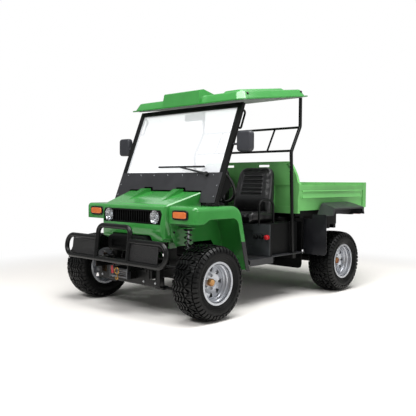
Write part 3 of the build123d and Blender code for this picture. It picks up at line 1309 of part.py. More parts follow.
def make_rear_axle():
    """The rear axle with its gear case, motor, spindles and two trailing arms."""
    x, z = REAR_X, AXLE_Z
    axle = rod((x, -AXLE_HALF, z), (x, AXLE_HALF, z), AXLE_R)
    axle += both(rod((x, AXLE_HALF - 5, z), (x, WHEEL_Y - 54, z), HUB_R))
    tip = WHEEL_Y + DISC_OUT + HUB_CAP_L - 10
    axle += rod((x, -tip, z), (x, tip, z), SPINDLE_R)
    axle += rod((x, -GEARCASE_HALF, z), (x, GEARCASE_HALF, z), GEARCASE_R)
    axle += rod((x + MOTOR_AHEAD, -GEARCASE_HALF, z + 20),
                (x + MOTOR_AHEAD, MOTOR_L - GEARCASE_HALF, z + 20), MOTOR_R)
    axle += block(x, x + MOTOR_AHEAD, -GEARCASE_HALF, GEARCASE_HALF - 20, z - 55, z + 65)
    arm = block(x, REAR_X + RAIL_REAR - SEAT, RAIL_Y - REAR_ARM_W / 2, RAIL_Y + REAR_ARM_W / 2, z,
                z + REAR_ARM_H)
    return axle + both(arm)


def make_rear_shocks():
    """The two rear dampers between the axle and the high rails."""
    x, y = REAR_X, RAIL_Y
    low = AXLE_Z + REAR_ARM_H + SEAT
    shock = rod((x + 4, y, low), (x + 4, y, HIGH_RAIL_Z), DAMPER_R)
    shock += Pos(x + 4, y, low + 40) * coil_sleeve(SPRING_R - 6, HIGH_RAIL_Z - 10 - low - 40)
    return both(shock)


tyre = make_tyre()
rim = make_rim()
front_place = Pos(FRONT_X, WHEEL_Y, AXLE_Z)
rear_place = Pos(REAR_X, WHEEL_Y, AXLE_Z)
fender = make_fender()
knuckle = make_knuckle()
mudguard = make_mudguard()
seat = make_seat()

pieces = {
    "chassis_frame": make_frame(),
    "frame_cross_bars": make_cross_bars(),
    "rear_subframe": make_rear_subframe(),
    "drawbar": make_drawbar(),
    "front_skid_plate": make_skid_plate(),
    "front_suspension_arms": make_front_arms(),
    "front_shocks": make_front_shocks(),
    "steering_rack_housing": make_rack_housing(),
    "rear_axle": make_rear_axle(),
    "rear_shocks": make_rear_shocks(),
    "floor_pan": make_floor(),
    "seat_base": make_seat_base(),
    "battery_pack": make_battery(),
    "bonnet": make_bonnet(),
    "front_fender_left": fender,
    "front_fender_right": other(fender),
    "grille": make_grille(),
    "headlamps": make_headlamps(),
    "turn_lamps": make_turn_lamps(),
    "front_bumper": make_bumper(),
    "bull_bar": make_bull_bar(),
    "bull_bar_mesh": make_bar_mesh(),
    "winch": make_winch(),
    "windscreen_frame": make_screen_frame(),
    "windscreen_panel": make_screen_panel(),
    "windscreen_glass": make_screen_glass(),
    "wiper": make_wiper(),
    "grab_handles": make_grab_handles(),
    "side_mirrors": make_side_mirrors(),
    "cabin_mirror": make_cabin_mirror(),
    "roof": make_roof(),
    "roof_liner": make_roof_liner(),
    "rear_guard": make_rear_guard(),
    "dashboard": make_dashboard(),
    "steering_column": make_column(),
    "pedals": make_pedals(),
    "control_knobs": make_knobs(),
    "driver_seat": seat,
    "passenger_seat": other(seat),
    "hip_hoops": make_hip_hoops(),
    "splash_panel": make_splash_panel(),
    "mudguard_left": mudguard,
    "mudguard_right": other(mudguard),
    "tail_lamps": make_tail_lamps(),
    "front_knuckle_left": knuckle,
    "front_knuckle_right": other(knuckle),
    "tie_rods": make_tie_rods(),
    "steering_wheel": make_steering_wheel(),
    "tyre_front_left": front_place * tyre,
    "tyre_front_right": other(front_place * tyre),
    "tyre_rear_left": rear_place * tyre,
    "tyre_rear_right": other(rear_place * tyre),
    "rim_front_left": front_place * rim,
    "rim_front_right": other(front_place * rim),
    "rim_rear_left": rear_place * rim,
    "rim_rear_right": other(rear_place * rim),
    "bed_tub": make_bed(),
    "bed_frame": make_bed_frame(),
    "tailgate": make_tailgate(),
}

os.makedirs("parts", exist_ok=True)
for name, piece in pieces.items():
    export_step(piece, os.path.join("parts", name + ".step"))
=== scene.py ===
import bmesh
import bpy
import json
import math
from mathutils import Matrix, Vector
from mathutils.bvhtree import BVHTree


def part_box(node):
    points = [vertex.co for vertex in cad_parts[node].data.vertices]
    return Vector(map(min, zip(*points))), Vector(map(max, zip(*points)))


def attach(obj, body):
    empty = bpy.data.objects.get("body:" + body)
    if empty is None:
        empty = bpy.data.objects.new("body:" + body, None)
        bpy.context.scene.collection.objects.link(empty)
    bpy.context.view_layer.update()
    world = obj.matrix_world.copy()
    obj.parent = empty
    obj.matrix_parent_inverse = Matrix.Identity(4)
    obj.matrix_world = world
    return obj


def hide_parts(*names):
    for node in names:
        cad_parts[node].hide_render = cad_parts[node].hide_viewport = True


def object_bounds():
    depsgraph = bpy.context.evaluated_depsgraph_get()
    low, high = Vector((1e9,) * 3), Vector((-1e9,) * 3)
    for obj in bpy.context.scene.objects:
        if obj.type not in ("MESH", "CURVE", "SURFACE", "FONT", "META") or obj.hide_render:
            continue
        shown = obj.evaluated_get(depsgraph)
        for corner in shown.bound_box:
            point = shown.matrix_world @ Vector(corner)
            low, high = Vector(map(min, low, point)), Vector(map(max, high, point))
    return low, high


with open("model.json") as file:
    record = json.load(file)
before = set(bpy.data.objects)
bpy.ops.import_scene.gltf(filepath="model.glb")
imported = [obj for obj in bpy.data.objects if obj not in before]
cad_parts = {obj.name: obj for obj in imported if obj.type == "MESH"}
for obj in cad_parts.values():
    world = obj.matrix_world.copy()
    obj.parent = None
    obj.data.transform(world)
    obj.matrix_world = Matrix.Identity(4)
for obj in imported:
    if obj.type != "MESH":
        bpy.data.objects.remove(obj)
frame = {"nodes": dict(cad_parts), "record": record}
cad_low, cad_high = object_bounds()

# The studio: a white paper floor that runs out of sight, one large soft lamp overhead, a broad one on the
# vehicle's left side and a weaker one ahead of the nose. The camera stands low, off the left front corner.
scene = bpy.context.scene
scene.view_settings.view_transform = "Standard"


def linear(hex_colour):
    """An sRGB hex colour as linear red, green, blue and 1."""
    parts = [int(hex_colour[i:i + 2], 16) / 255 for i in (1, 3, 5)]
    return [c / 12.92 if c <= 0.04045 else ((c + 0.055) / 1.055) ** 2.4 for c in parts] + [1.0]


def add_node(tree, kind, inputs=None, **settings):
    """Adds a node with its settings; an input takes a value or another node's output."""
    node = tree.nodes.new(kind)
    for name, value in settings.items():
        setattr(node, name, value)
    for name, value in (inputs or {}).items():
        if isinstance(value, bpy.types.NodeSocket):
            tree.links.new(value, node.inputs[name])
        else:
            node.inputs[name].default_value = value
    return node


def link_object(name, mesh, *materials):
    """Puts a mesh into the scene as an object at the origin."""
    for material in materials:
        mesh.materials.append(material)
    obj = bpy.data.objects.new(name, mesh)
    scene.collection.objects.link(obj)
    return obj


EYE = Vector((4.3405, 3.765, 1.063))
EYE_YAW, EYE_PITCH, EYE_ROLL = (math.radians(a) for a in (-136.81, -2.57, 0.33))
LENS_MM, SENSOR_MM = 50.89, 36.0
forward = Vector((math.cos(EYE_PITCH) * math.cos(EYE_YAW), math.cos(EYE_PITCH) * math.sin(EYE_YAW),
                  math.sin(EYE_PITCH)))
level = forward.cross(Vector((0, 0, 1))).normalized()
rise = level.cross(forward)
right = level * math.cos(EYE_ROLL) + rise * math.sin(EYE_ROLL)
top = rise * math.cos(EYE_ROLL) - level * math.sin(EYE_ROLL)
camera = bpy.data.objects.new("camera", bpy.data.cameras.new("camera"))
camera.data.lens = LENS_MM
camera.data.sensor_width = SENSOR_MM
camera.matrix_world = Matrix.Translation(EYE) @ Matrix((right, top, -forward)).transposed().to_4x4()
scene.collection.objects.link(camera)
scene.camera = camera


def seen_ray(tree):
    """1 for rays from the camera, straight or through glass, and 0 for light and reflections."""
    ray = add_node(tree, "ShaderNodeLightPath").outputs
    return add_node(tree, "ShaderNodeMath", {0: ray["Is Camera Ray"], 1: ray["Is Transmission Ray"]},
                    operation="MAXIMUM").outputs[0]


AIR_LIGHT = 0.12
AIR_MIRRORED = 0.42
FLOOR_TONE = "#f7f4f0"
FLOOR_HALF = 40
FLOOR_KEPT = 2.2
FLOOR_GONE = 4.0
world = bpy.data.worlds.new("studio_air")
scene.world = world
world.use_nodes = True
air = world.node_tree
mirrored = add_node(air, "ShaderNodeLightPath").outputs["Is Glossy Ray"]
air_low = add_node(air, "ShaderNodeMapRange", {"Value": mirrored, "To Min": AIR_LIGHT,
                                               "To Max": AIR_MIRRORED})
air_level = add_node(air, "ShaderNodeMapRange", {"Value": seen_ray(air), "To Min": air_low.outputs[0],
                                                 "To Max": 1.0})
air.links.new(air_level.outputs[0], air.nodes["Background"].inputs["Strength"])
air.nodes["Background"].inputs["Color"].default_value = (1, 1, 1, 1)
# The air is the same on every side, so all light samples go to the lamps.
world.cycles.sampling_method = "NONE"


def start_material(name):
    """A new material: itself, its node tree, its shader and its Object coordinates."""
    material = bpy.data.materials.new(name)
    material.use_nodes = True
    tree = material.node_tree
    place = add_node(tree, "ShaderNodeTexCoord").outputs["Object"]
    return material, tree, tree.nodes["Principled BSDF"], place


floor_mesh = bpy.data.meshes.new("floor")
floor_corners = [(x * FLOOR_HALF, y * FLOOR_HALF, 0) for x, y in ((-1, -1), (1, -1), (1, 1), (-1, 1))]
floor_mesh.from_pydata(floor_corners, [], [(0, 1, 2, 3)])
floor_paper, tree, paper, place = start_material("white_paper_floor")
paper.inputs["Base Color"].default_value = linear(FLOOR_TONE)
paper.inputs["Roughness"].default_value = 1.0
paper.inputs["Specular IOR Level"].default_value = 0.0
reach = add_node(tree, "ShaderNodeVectorMath", {0: place}, operation="LENGTH")
fade = add_node(tree, "ShaderNodeMapRange", {"Value": reach.outputs["Value"], "From Min": FLOOR_KEPT,
                                             "From Max": FLOOR_GONE}, interpolation_type="SMOOTHSTEP")
share = add_node(tree, "ShaderNodeMath", {0: fade.outputs[0], 1: seen_ray(tree)}, operation="MULTIPLY")
white = add_node(tree, "ShaderNodeEmission", {"Color": (1, 1, 1, 1), "Strength": 1.0})
laid = add_node(tree, "ShaderNodeMixShader", {0: share.outputs[0], 1: paper.outputs[0], 2: white.outputs[0]})
tree.links.new(laid.outputs[0], tree.nodes["Material Output"].inputs["Surface"])
floor_paper.cycles.emission_sampling = "NONE"
link_object("floor", floor_mesh, floor_paper)


def add_lamp(name, place, aim, size, watts):
    """A soft square lamp at a place, turned to its aim."""
    data = bpy.data.lights.new(name, "AREA")
    data.shape = "RECTANGLE"
    data.size, data.size_y = size
    data.energy = watts
    lamp = bpy.data.objects.new(name, data)
    lamp.location = place
    lamp.rotation_euler = (Vector(aim) - Vector(place)).to_track_quat("-Z", "Y").to_euler()
    scene.collection.objects.link(lamp)


add_lamp("overhead_lamp", (0.2, 1.2, 5.0), (0, 0.1, 0.5), (5.0, 3.4), 400)
add_lamp("left_side_lamp", (-0.4, 5.6, 2.3), (0, 0, 0.9), (4.6, 2.2), 60)
add_lamp("nose_lamp", (4.6, 0.4, 4.0), (0.8, 0, 0.8), (3.0, 1.6), 130)

# The frame and what is bolted under it: cut and welded steel tube and plate with a satin black powder coat,
# which gives broad soft highlights and a faint pebble, joined by zinc-plated hexagon bolts.
BODY_OF = {}
for body_name, node_names in frame["record"]["behaviour"]["bodies"].items():
    for node_name in node_names:
        BODY_OF[node_name] = body_name
SLOT_OF = {row["node"]: row["material_slot"] for row in frame["record"]["subparts"]}


# Real grain is mostly too fine for the render, so it is drawn coarser than life, as coarse as it needs to show.
CLOUDS_PER_M = 7.0
CLOUD_SPAN = (0.35, 0.65)
GLOSS_DRIFT = 0.14
LACQUER_ROUGHNESS = 0.08


def grained(name, colour, roughness, grain_mm, depth_mm, drift=0.12, metallic=0.0, coat=0.0, shine=0.5,
            second=None):
    """A finish with a fine grain in its bump and a slow drift in tone and gloss, or to a second colour."""
    material, tree, shader, place = start_material(name)
    cloud = add_node(tree, "ShaderNodeTexNoise", {"Vector": place, "Scale": CLOUDS_PER_M, "Detail": 5.0})
    spread = add_node(tree, "ShaderNodeMapRange", {"Value": cloud.outputs["Fac"], "From Min": CLOUD_SPAN[0],
                                                   "From Max": CLOUD_SPAN[1]})
    low = [c * (1 - drift) for c in linear(colour)[:3]] + [1]
    high = linear(second) if second else [c * (1 + drift) for c in linear(colour)[:3]] + [1]
    tone = add_node(tree, "ShaderNodeMix", {0: spread.outputs[0], 6: low, 7: high}, data_type="RGBA")
    gloss = add_node(tree, "ShaderNodeMapRange", {"Value": spread.outputs[0],
                                                  "To Min": roughness * (1 - GLOSS_DRIFT),
                                                  "To Max": roughness * (1 + GLOSS_DRIFT)})
    grain = add_node(tree, "ShaderNodeTexNoise", {"Vector": place, "Scale": 1000 / grain_mm, "Detail": 2.0})
    bump = add_node(tree, "ShaderNodeBump", {"Height": grain.outputs["Fac"], "Distance": depth_mm / 1000,
                                             "Strength": 0.5})
    tree.links.new(tone.outputs[2], shader.inputs["Base Color"])
    tree.links.new(gloss.outputs[0], shader.inputs["Roughness"])
    tree.links.new(bump.outputs[0], shader.inputs["Normal"])
    shader.inputs["Metallic"].default_value = metallic
    shader.inputs["Specular IOR Level"].default_value = shine
    shader.inputs["Coat Weight"].default_value = coat
    shader.inputs["Coat Roughness"].default_value = LACQUER_ROUGHNESS
    return material


def made_mesh(work, name, outward=True):
    """Turns a bmesh into a mesh, with its faces turned outwards unless they already are."""
    if outward:
        bmesh.ops.recalc_face_normals(work, faces=work.faces)
    mesh = bpy.data.meshes.new(name)
    work.to_mesh(mesh)
    work.free()
    return mesh


SAME_POINT = 2e-5
SAME_PLANE = math.radians(0.4)


def crisp_copy(node, materials, edge_mm=1.5, angle=40, cuts=(), pick=None):
    """A merged copy of a node with softened edges; pick gives the number of a face's finish."""
    work = bmesh.new()
    work.from_mesh(frame["nodes"][node].data)
    for layer in list(work.loops.layers.float_vector):
        work.loops.layers.float_vector.remove(layer)
    bmesh.ops.remove_doubles(work, verts=work.verts, dist=SAME_POINT)
    bmesh.ops.dissolve_limit(work, angle_limit=SAME_PLANE, verts=work.verts, edges=work.edges)
    for point, normal in cuts:
        everything = work.verts[:] + work.edges[:] + work.faces[:]
        bmesh.ops.bisect_plane(work, geom=everything, plane_co=point, plane_no=normal)
    for face in work.faces:
        face.material_index = int(pick(face)) if pick else 0
        face.smooth = True
    mesh = made_mesh(work, node, outward=False)
    for name in [a.name for a in mesh.attributes if a.name == "custom_normal"]:
        mesh.attributes.remove(mesh.attributes[name])
    mesh.set_sharp_from_angle(angle=math.radians(angle))
    obj = link_object(node + "_skin", mesh, *materials)
    if edge_mm:
        soft = obj.modifiers.new("edges", "BEVEL")
        soft.width = edge_mm / 1000
        soft.segments = 2
        soft.limit_method = "ANGLE"
        soft.angle_limit = math.radians(angle)
        soft.harden_normals = True
    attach(obj, BODY_OF[node])
    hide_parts(node)
    return obj


def facing(point, way):
    """A place at a point with its own Z turned to a direction."""
    return Matrix.Translation(point) @ Vector(way).to_track_quat("Z", "Y").to_matrix().to_4x4()


def touch(node, start, way):
    """Where a ray from a point meets a node's surface, as a place that faces along the normal there."""
    mesh = frame["nodes"][node].data
    skin = BVHTree.FromPolygons([v.co for v in mesh.vertices], [p.vertices for p in mesh.polygons])
    point, normal, _, _ = skin.ray_cast(Vector(start), Vector(way).normalized())
    if point is None:
        raise ValueError(f"nothing of {node} lies ahead of {start}")
    if normal.dot(Vector(way)) > 0:
        normal = -normal
    return facing(point, normal)


def new_tree(name, inputs):
    """An empty Geometry Nodes tree with named inputs, and its input and output nodes."""
    tree = bpy.data.node_groups.new(name, "GeometryNodeTree")
    tree.interface.new_socket("Geometry", in_out="INPUT", socket_type="NodeSocketGeometry")
    for label, kind in inputs:
        tree.interface.new_socket(label, in_out="INPUT", socket_type=kind)
    tree.interface.new_socket("Geometry", in_out="OUTPUT", socket_type="NodeSocketGeometry")
    return tree, add_node(tree, "NodeGroupInput").outputs, add_node(tree, "NodeGroupOutput")


def finish_tree(tree, shape, material, out):
    """Ends a tree in real geometry with its material."""
    real = add_node(tree, "GeometryNodeRealizeInstances", {"Geometry": shape})
    dressed = add_node(tree, "GeometryNodeSetMaterial", {"Geometry": real.outputs[0], "Material": material})
    tree.links.new(dressed.outputs[0], out.inputs[0])


scatter_tree, given, out = new_tree("copies_at_places", (("Thing", "NodeSocketObject"),
                                                         ("Finish", "NodeSocketMaterial")))
thing = add_node(scatter_tree, "GeometryNodeObjectInfo", {"Object": given["Thing"], "As Instance": True})
turn = add_node(scatter_tree, "GeometryNodeInputNamedAttribute", {"Name": "turn"}, data_type="FLOAT_VECTOR")
turned_by = add_node(scatter_tree, "FunctionNodeEulerToRotation", {0: turn.outputs[0]})
copies = add_node(scatter_tree, "GeometryNodeInstanceOnPoints",
                  {"Points": given["Geometry"], "Instance": thing.outputs["Geometry"],
                   "Rotation": turned_by.outputs[0]})
finish_tree(scatter_tree, copies.outputs[0], given["Finish"], out)


def evaluated(host):
    """The mesh of an object with its modifiers carried out. The object itself goes."""
    mesh = bpy.data.meshes.new_from_object(host.evaluated_get(bpy.context.evaluated_depsgraph_get()))
    bpy.data.objects.remove(host)
    return mesh


def grown(tree, start_mesh, values):
    """Runs a Geometry Nodes tree on a mesh and gives the result as a plain mesh."""
    host = link_object("host", start_mesh)
    maker = host.modifiers.new("maker", "NODES")
    maker.node_group = tree
    names = {item.name: item.identifier for item in tree.interface.items_tree if item.in_out == "INPUT"}
    for name, value in values.items():
        maker[names[name]] = value
    return evaluated(host)


def scatter(name, places, sample_mesh, finish, body):
    """Copies of a small mesh, one at each place, joined as one piece."""
    points = bpy.data.meshes.new(name + "_points")
    points.from_pydata([tuple(p.translation) for p in places], [], [])
    turns = points.attributes.new("turn", "FLOAT_VECTOR", "POINT")
    for row, p in zip(turns.data, places):
        row.vector = p.to_euler()
    sample = link_object(name + "_sample", sample_mesh)
    mesh = grown(scatter_tree, points, {"Thing": sample, "Finish": finish})
    bpy.data.objects.remove(sample)
    piece = link_object(name, mesh)
    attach(piece, body)
    return piece


def prism(outline, heights, scales):
    """A closed mesh of one outline at several heights, each drawn in by its scale."""
    work = bmesh.new()
    rings = [[work.verts.new((x * s, y * s, z)) for x, y in outline] for z, s in zip(heights, scales)]
    count = len(outline)
    for lower, upper in zip(rings, rings[1:]):
        for i in range(count):
            work.faces.new((lower[i], lower[(i + 1) % count], upper[(i + 1) % count], upper[i]))
    work.faces.new(list(reversed(rings[0])))
    work.faces.new(rings[-1])
    return made_mesh(work, "prism")


def ring_points(radius, count):
    """Points of a regular outline."""
    angles = [math.tau * i / count for i in range(count)]
    return [(radius * math.cos(a), radius * math.sin(a)) for a in angles]


def joined(*meshes):
    """Several meshes as one."""
    work = bmesh.new()
    for mesh in meshes:
        work.from_mesh(mesh)
    return made_mesh(work, "joined", outward=False)


def bolt_mesh(across_mm):
    """A hexagon bolt's head on its washer, with a domed top."""
    r = across_mm / 2000
    washer = prism(ring_points(r * 1.45, 14), (-0.001, r * 0.22, r * 0.3), (1, 1, 0.95))
    head = prism(ring_points(r * 1.12, 6), (r * 0.2, r * 0.9, r * 1.05), (1, 1, 0.84))
    return joined(washer, head)


powder_coat = grained("satin_black_powder_coat", "#060707", 0.36, 1.2, 0.05, shine=0.22)
FRAME_NODES = ("frame_cross_bars", "rear_subframe", "drawbar", "front_skid_plate", "bed_frame",
               "front_suspension_arms", "pedals")
for node in FRAME_NODES:
    crisp_copy(node, [powder_coat])
# Zinc plate is bright and a little milky, and lights up as small points on the black steel.
zinc = grained("bright_zinc_plate", "#b4b7ba", 0.28, 1.0, 0.02, metallic=1.0)
skid_low, skid_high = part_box("front_skid_plate")
SKID_BOLT_Y = (-0.34, -0.2, 0.2, 0.34)
AHEAD = 2.0
skid_bolts = []
for y in SKID_BOLT_Y:
    for z in (skid_low.z + 0.035, skid_high.z - 0.03):
        skid_bolts.append(touch("front_skid_plate", (AHEAD, y, z), (-1, 0, 0)))
scatter("skid_plate_bolts", skid_bolts, bolt_mesh(13), zinc, "chassis")

# The axles: painted castings at the rear axle and steering rack, forged knuckles with a yellow passivated
# zinc finish, plain bright track rods.
cast_paint = grained("painted_iron_casting", "#101112", 0.5, 3.0, 0.25)
for node in ("steering_rack_housing", "rear_axle"):
    crisp_copy(node, [cast_paint])
yellow_zinc = grained("yellow_passivated_zinc", "#5a4326", 0.42, 2.0, 0.08, metallic=0.8, second="#2a2521")
for node in ("front_knuckle_left", "front_knuckle_right"):
    crisp_copy(node, [yellow_zinc])
crisp_copy("tie_rods", [zinc])

# The suspension struts: a coil spring of black wire round a black damper tube, with a bright piston rod and
# pressed spring seats at both ends.
SPRING_WIRE = 0.0058
TUBE_R, TUBE_END_R, ROD_R = 0.016, 0.013, 0.009
TOP_SEAT, FOOT_SEAT = 0.014, 0.008
FOOT_SHARE = 0.17
COIL_SHARE = 0.79
coil_tree, given, out = new_tree("coil_spring", (("Turns", "NodeSocketFloat"), ("Radius", "NodeSocketFloat"),
                                                 ("Height", "NodeSocketFloat"), ("Wire", "NodeSocketFloat"),
                                                 ("Finish", "NodeSocketMaterial")))
helix = add_node(coil_tree, "GeometryNodeCurveSpiral",
                 {"Resolution": 20, "Rotations": given["Turns"], "Start Radius": given["Radius"],
                  "End Radius": given["Radius"], "Height": given["Height"]})
section = add_node(coil_tree, "GeometryNodeCurvePrimitiveCircle", {"Resolution": 8, "Radius": given["Wire"]})
wound = add_node(coil_tree, "GeometryNodeCurveToMesh",
                 {"Curve": helix.outputs[0], "Profile Curve": section.outputs[0], "Fill Caps": True})
smooth = add_node(coil_tree, "GeometryNodeSetShadeSmooth", {"Geometry": wound.outputs[0]})
finish_tree(coil_tree, smooth.outputs[0], given["Finish"], out)


def turned(profile, place, steps=40, closed=False):
    """A mesh turned from (radius, height) points about a place's own Z."""
    work = bmesh.new()
    rings = []
    for radius, height in profile:
        if radius < 1e-6:
            rings.append([work.verts.new((0, 0, height))])
        else:
            rings.append([work.verts.new((x, y, height)) for x, y in ring_points(radius, steps)])
    pairs = list(zip(rings, rings[1:]))
    if closed:
        pairs.append((rings[-1], rings[0]))
    for lower, upper in pairs:
        for i in range(steps):
            j = (i + 1) % steps
            corners = [lower[i % len(lower)], lower[j % len(lower)]]
            corners += [upper[j % len(upper)], upper[i % len(upper)]]
            work.faces.new(list(dict.fromkeys(corners)))
    if not closed:
        for ring in (rings[0], rings[-1]):
            if len(ring) > 1:
                work.faces.new(ring)
    for face in work.faces:
        face.smooth = True
    mesh = made_mesh(work, "turned")
    mesh.transform(place)
    mesh.set_sharp_from_angle(angle=math.radians(40))
    return mesh


def dressed(name, mesh, material, body, slot, stands_for=None):
    """A finished piece on its body, which may stand for a node."""
    piece = link_object(name, mesh, material)
    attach(piece, body)
    if stands_for:
        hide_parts(stands_for)
    return piece


spring_wire = grained("black_spring_enamel", "#0c0d0e", 0.28, 1.5, 0.03)
for node, coil_radius, turns in (("front_shocks", 0.028, 8.0), ("rear_shocks", 0.022, 6.5)):
    low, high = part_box(node)
    x = (low.x + high.x) / 2
    half_y = high.y - coil_radius - SPRING_WIRE
    length = high.z - low.z
    tubes, rods, coils = [], [], []
    for y in (half_y, -half_y):
        foot = Matrix.Translation((x, y, low.z))
        tube = [(0, 0), (TUBE_END_R, 0), (TUBE_R, 0.012), (TUBE_R, length * 0.5), (TUBE_END_R, length * 0.52),
                (0, length * 0.52)]
        rod_top = length - TOP_SEAT
        rod = [(0, length * 0.5), (ROD_R, length * 0.5), (ROD_R, rod_top), (0, rod_top)]
        tubes.append(turned(tube, foot, 20))
        rods.append(turned(rod, foot, 16))
        seat_r = coil_radius + SPRING_WIRE
        for at, thick in ((length - 0.016, TOP_SEAT), (length * FOOT_SHARE, FOOT_SEAT)):
            tubes.append(turned([(0, at), (seat_r, at), (seat_r, at + thick), (0, at + thick)], foot, 24))
        coil = grown(coil_tree, bpy.data.meshes.new("spring_start"),
                     {"Turns": turns, "Radius": coil_radius, "Height": length * COIL_SHARE - 2 * TOP_SEAT,
                      "Wire": SPRING_WIRE, "Finish": spring_wire})
        coil.transform(Matrix.Translation((x, y, low.z + length * FOOT_SHARE + 0.012)))
        coils.append(coil)
    dressed(node + "_damper_tubes", joined(*tubes), powder_coat, "chassis", "black_paint", node)
    dressed(node + "_piston_rods", joined(*rods), zinc, "chassis", "steel")
    dressed(node + "_springs", joined(*coils), spring_wire, "chassis", "black_paint")

# The tyres: moulded rubber carcasses with a block tread, chevrons over the inner half, cut triangles over the
# outer half and paired blocks that wrap over both shoulders.
PITCHES = 22
CARCASS = ((0.2775, 0.0), (0.2765, 0.055), (0.274, 0.085), (0.268, 0.104), (0.258, 0.116), (0.246, 0.122),
           (0.230, 0.1245), (0.212, 0.123), (0.19, 0.117), (0.170, 0.108), (0.1527, 0.102))
BLOCK_DRAFT = 0.93
BLOCK_TALL, BLOCK_LOW, BLOCK_ROOT = 0.0138, 0.0055, -0.002
SHOULDER, SHOULDER_FALL = 0.085, 0.125


def along_carcass(distance):
    """The (radius, across) point and outward normal of the carcass at a distance from its middle line."""
    side = -1 if distance < 0 else 1
    left = abs(distance)
    for (r0, y0), (r1, y1) in zip(CARCASS, CARCASS[1:]):
        span = math.hypot(r1 - r0, y1 - y0)
        if left <= span or (r1, y1) == CARCASS[-1]:
            share = left / span
            normal = ((y1 - y0) / span, (r0 - r1) / span)
            return (r0 + (r1 - r0) * share, side * (y0 + (y1 - y0) * share)), (normal[0], side * normal[1])
        left -= span


def block_height(distance):
    """How far a tread block stands off the carcass."""
    away = abs(distance)
    return BLOCK_TALL if away < SHOULDER else max(BLOCK_LOW, BLOCK_TALL - (away - SHOULDER) * SHOULDER_FALL)


def tread_block(work, left, right):
    """A block between two chains of (share of a pitch, distance) points, drawn in a little at its top."""
    def spot(share, distance, lift):
        (r, y), (nr, ny) = along_carcass(distance)
        angle = share * math.tau / PITCHES
        r, y = r + nr * lift, y + ny * lift
        return Vector((r * math.sin(angle), y, r * math.cos(angle)))

    flat = left + right
    middle = [sum(p[i] for p in flat) / len(flat) for i in (0, 1)]

    def drawn(point):
        return [m + (p - m) * BLOCK_DRAFT for p, m in zip(point, middle)]

    base = [[work.verts.new(spot(*p, BLOCK_ROOT)) for p in chain] for chain in (left, right)]
    face = [[work.verts.new(spot(*drawn(p), block_height(p[1]))) for p in chain] for chain in (left, right)]
    for i in range(len(left) - 1):
        work.faces.new((face[0][i], face[0][i + 1], face[1][i + 1], face[1][i]))
        work.faces.new((base[0][i], base[1][i], base[1][i + 1], base[0][i + 1]))
        work.faces.new((base[0][i], base[0][i + 1], face[0][i + 1], face[0][i]))
        work.faces.new((base[1][i + 1], base[1][i], face[1][i], face[1][i + 1]))
    for i in (0, -1):
        work.faces.new((base[0][i], face[0][i], face[1][i], base[1][i]))


RIB_COLUMNS = (-0.089, -0.059, -0.029, 0.001)
RIB_HALF, RIB_LEAN = 0.0088, 0.0105


def tread_pitch(outer):
    """One pitch of the tread, with its outer half towards outer, +1 or -1 along Y."""
    work = bmesh.new()
    for column in RIB_COLUMNS:
        for way in (-1, 1):
            near, far = 0.045 * way, 0.47 * way
            low, high = column - RIB_LEAN, column + RIB_LEAN
            tread_block(work, [(near, outer * (low - RIB_HALF)), (far, outer * (high - RIB_HALF))],
                        [(near, outer * (low + RIB_HALF)), (far, outer * (high + RIB_HALF))])
    for way in (-1, 1):
        tread_block(work, [(0.05 * way, outer * 0.028), (0.46 * way, outer * 0.030)],
                    [(0.05 * way, outer * 0.066), (0.10 * way, outer * 0.060)])
        tread_block(work, [(0.47 * way, outer * 0.040), (0.47 * way, outer * 0.094)],
                    [(0.44 * way, outer * 0.040), (0.17 * way, outer * 0.094)])
    tread_block(work, [(-0.02, outer * 0.075), (-0.12, outer * 0.096)],
                [(0.02, outer * 0.075), (0.12, outer * 0.096)])
    for side in (-1, 1):
        start = 0.103 if side * outer > 0 else 0.107
        for first, last, end in ((-0.45, -0.09, 0.141), (0.06, 0.42, 0.135)):
            rows = (start, 0.1207, 0.130, end)
            tread_block(work, [(first, side * d) for d in rows], [(last, side * d) for d in rows])
    return made_mesh(work, "tread_pitch")


# Rubber is dull and almost black. The tread, worn clean, takes a little more light than the sides.
rubber = grained("moulded_tyre_rubber", "#040505", 0.42, 1.5, 0.12, drift=0.2, shine=0.16)
tread_rubber = grained("tread_rubber", "#040505", 0.38, 1.5, 0.15, drift=0.25, shine=0.24)
SIDE_RIBS = ((0.2095, 0.0015), (0.196, 0.0012), (0.182, 0.001))
RIB_R = 0.0016
LINING = [(0.1527, 0.095), (0.20, 0.105), (0.262, 0.08), (0.262, -0.08), (0.20, -0.105), (0.1527, -0.095)]
half_section = [along_carcass(0.01 * i)[0] for i in range(25)]
section = [(r, -y) for r, y in reversed(half_section[1:])] + half_section + LINING
ACROSS = Matrix.Rotation(math.radians(-90), 4, "X")
for end in ("front", "rear"):
    for side, outer in (("left", 1), ("right", -1)):
        node = f"tyre_{end}_{side}"
        body = BODY_OF[node]
        low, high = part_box(node)
        hub = (low + high) / 2
        axle = Matrix.Translation(hub)
        carcass = turned(section, axle @ ACROSS, 88, closed=True)
        dressed(node + "_carcass", carcass, rubber, body, "tyre", node)
        spots = [axle @ Matrix.Rotation(math.tau * i / PITCHES, 4, "Y") for i in range(PITCHES)]
        scatter(node + "_tread", spots, tread_pitch(outer), tread_rubber, body)
        hoops = []
        for r, proud in SIDE_RIBS:
            span = next(s for s in [0.001 * i for i in range(90, 240)] if along_carcass(s)[0][0] < r)
            (r, y), (nr, ny) = along_carcass(span)
            loop = [(r + nr * proud + a, y + ny * proud + b) for a, b in ring_points(RIB_R, 6)]
            for mirror in (1, -1):
                hoops.append(turned([(a, b * mirror) for a, b in loop], axle @ ACROSS, 72, closed=True))
        dressed(node + "_side_ribs", joined(*hoops), rubber, body, "tyre")

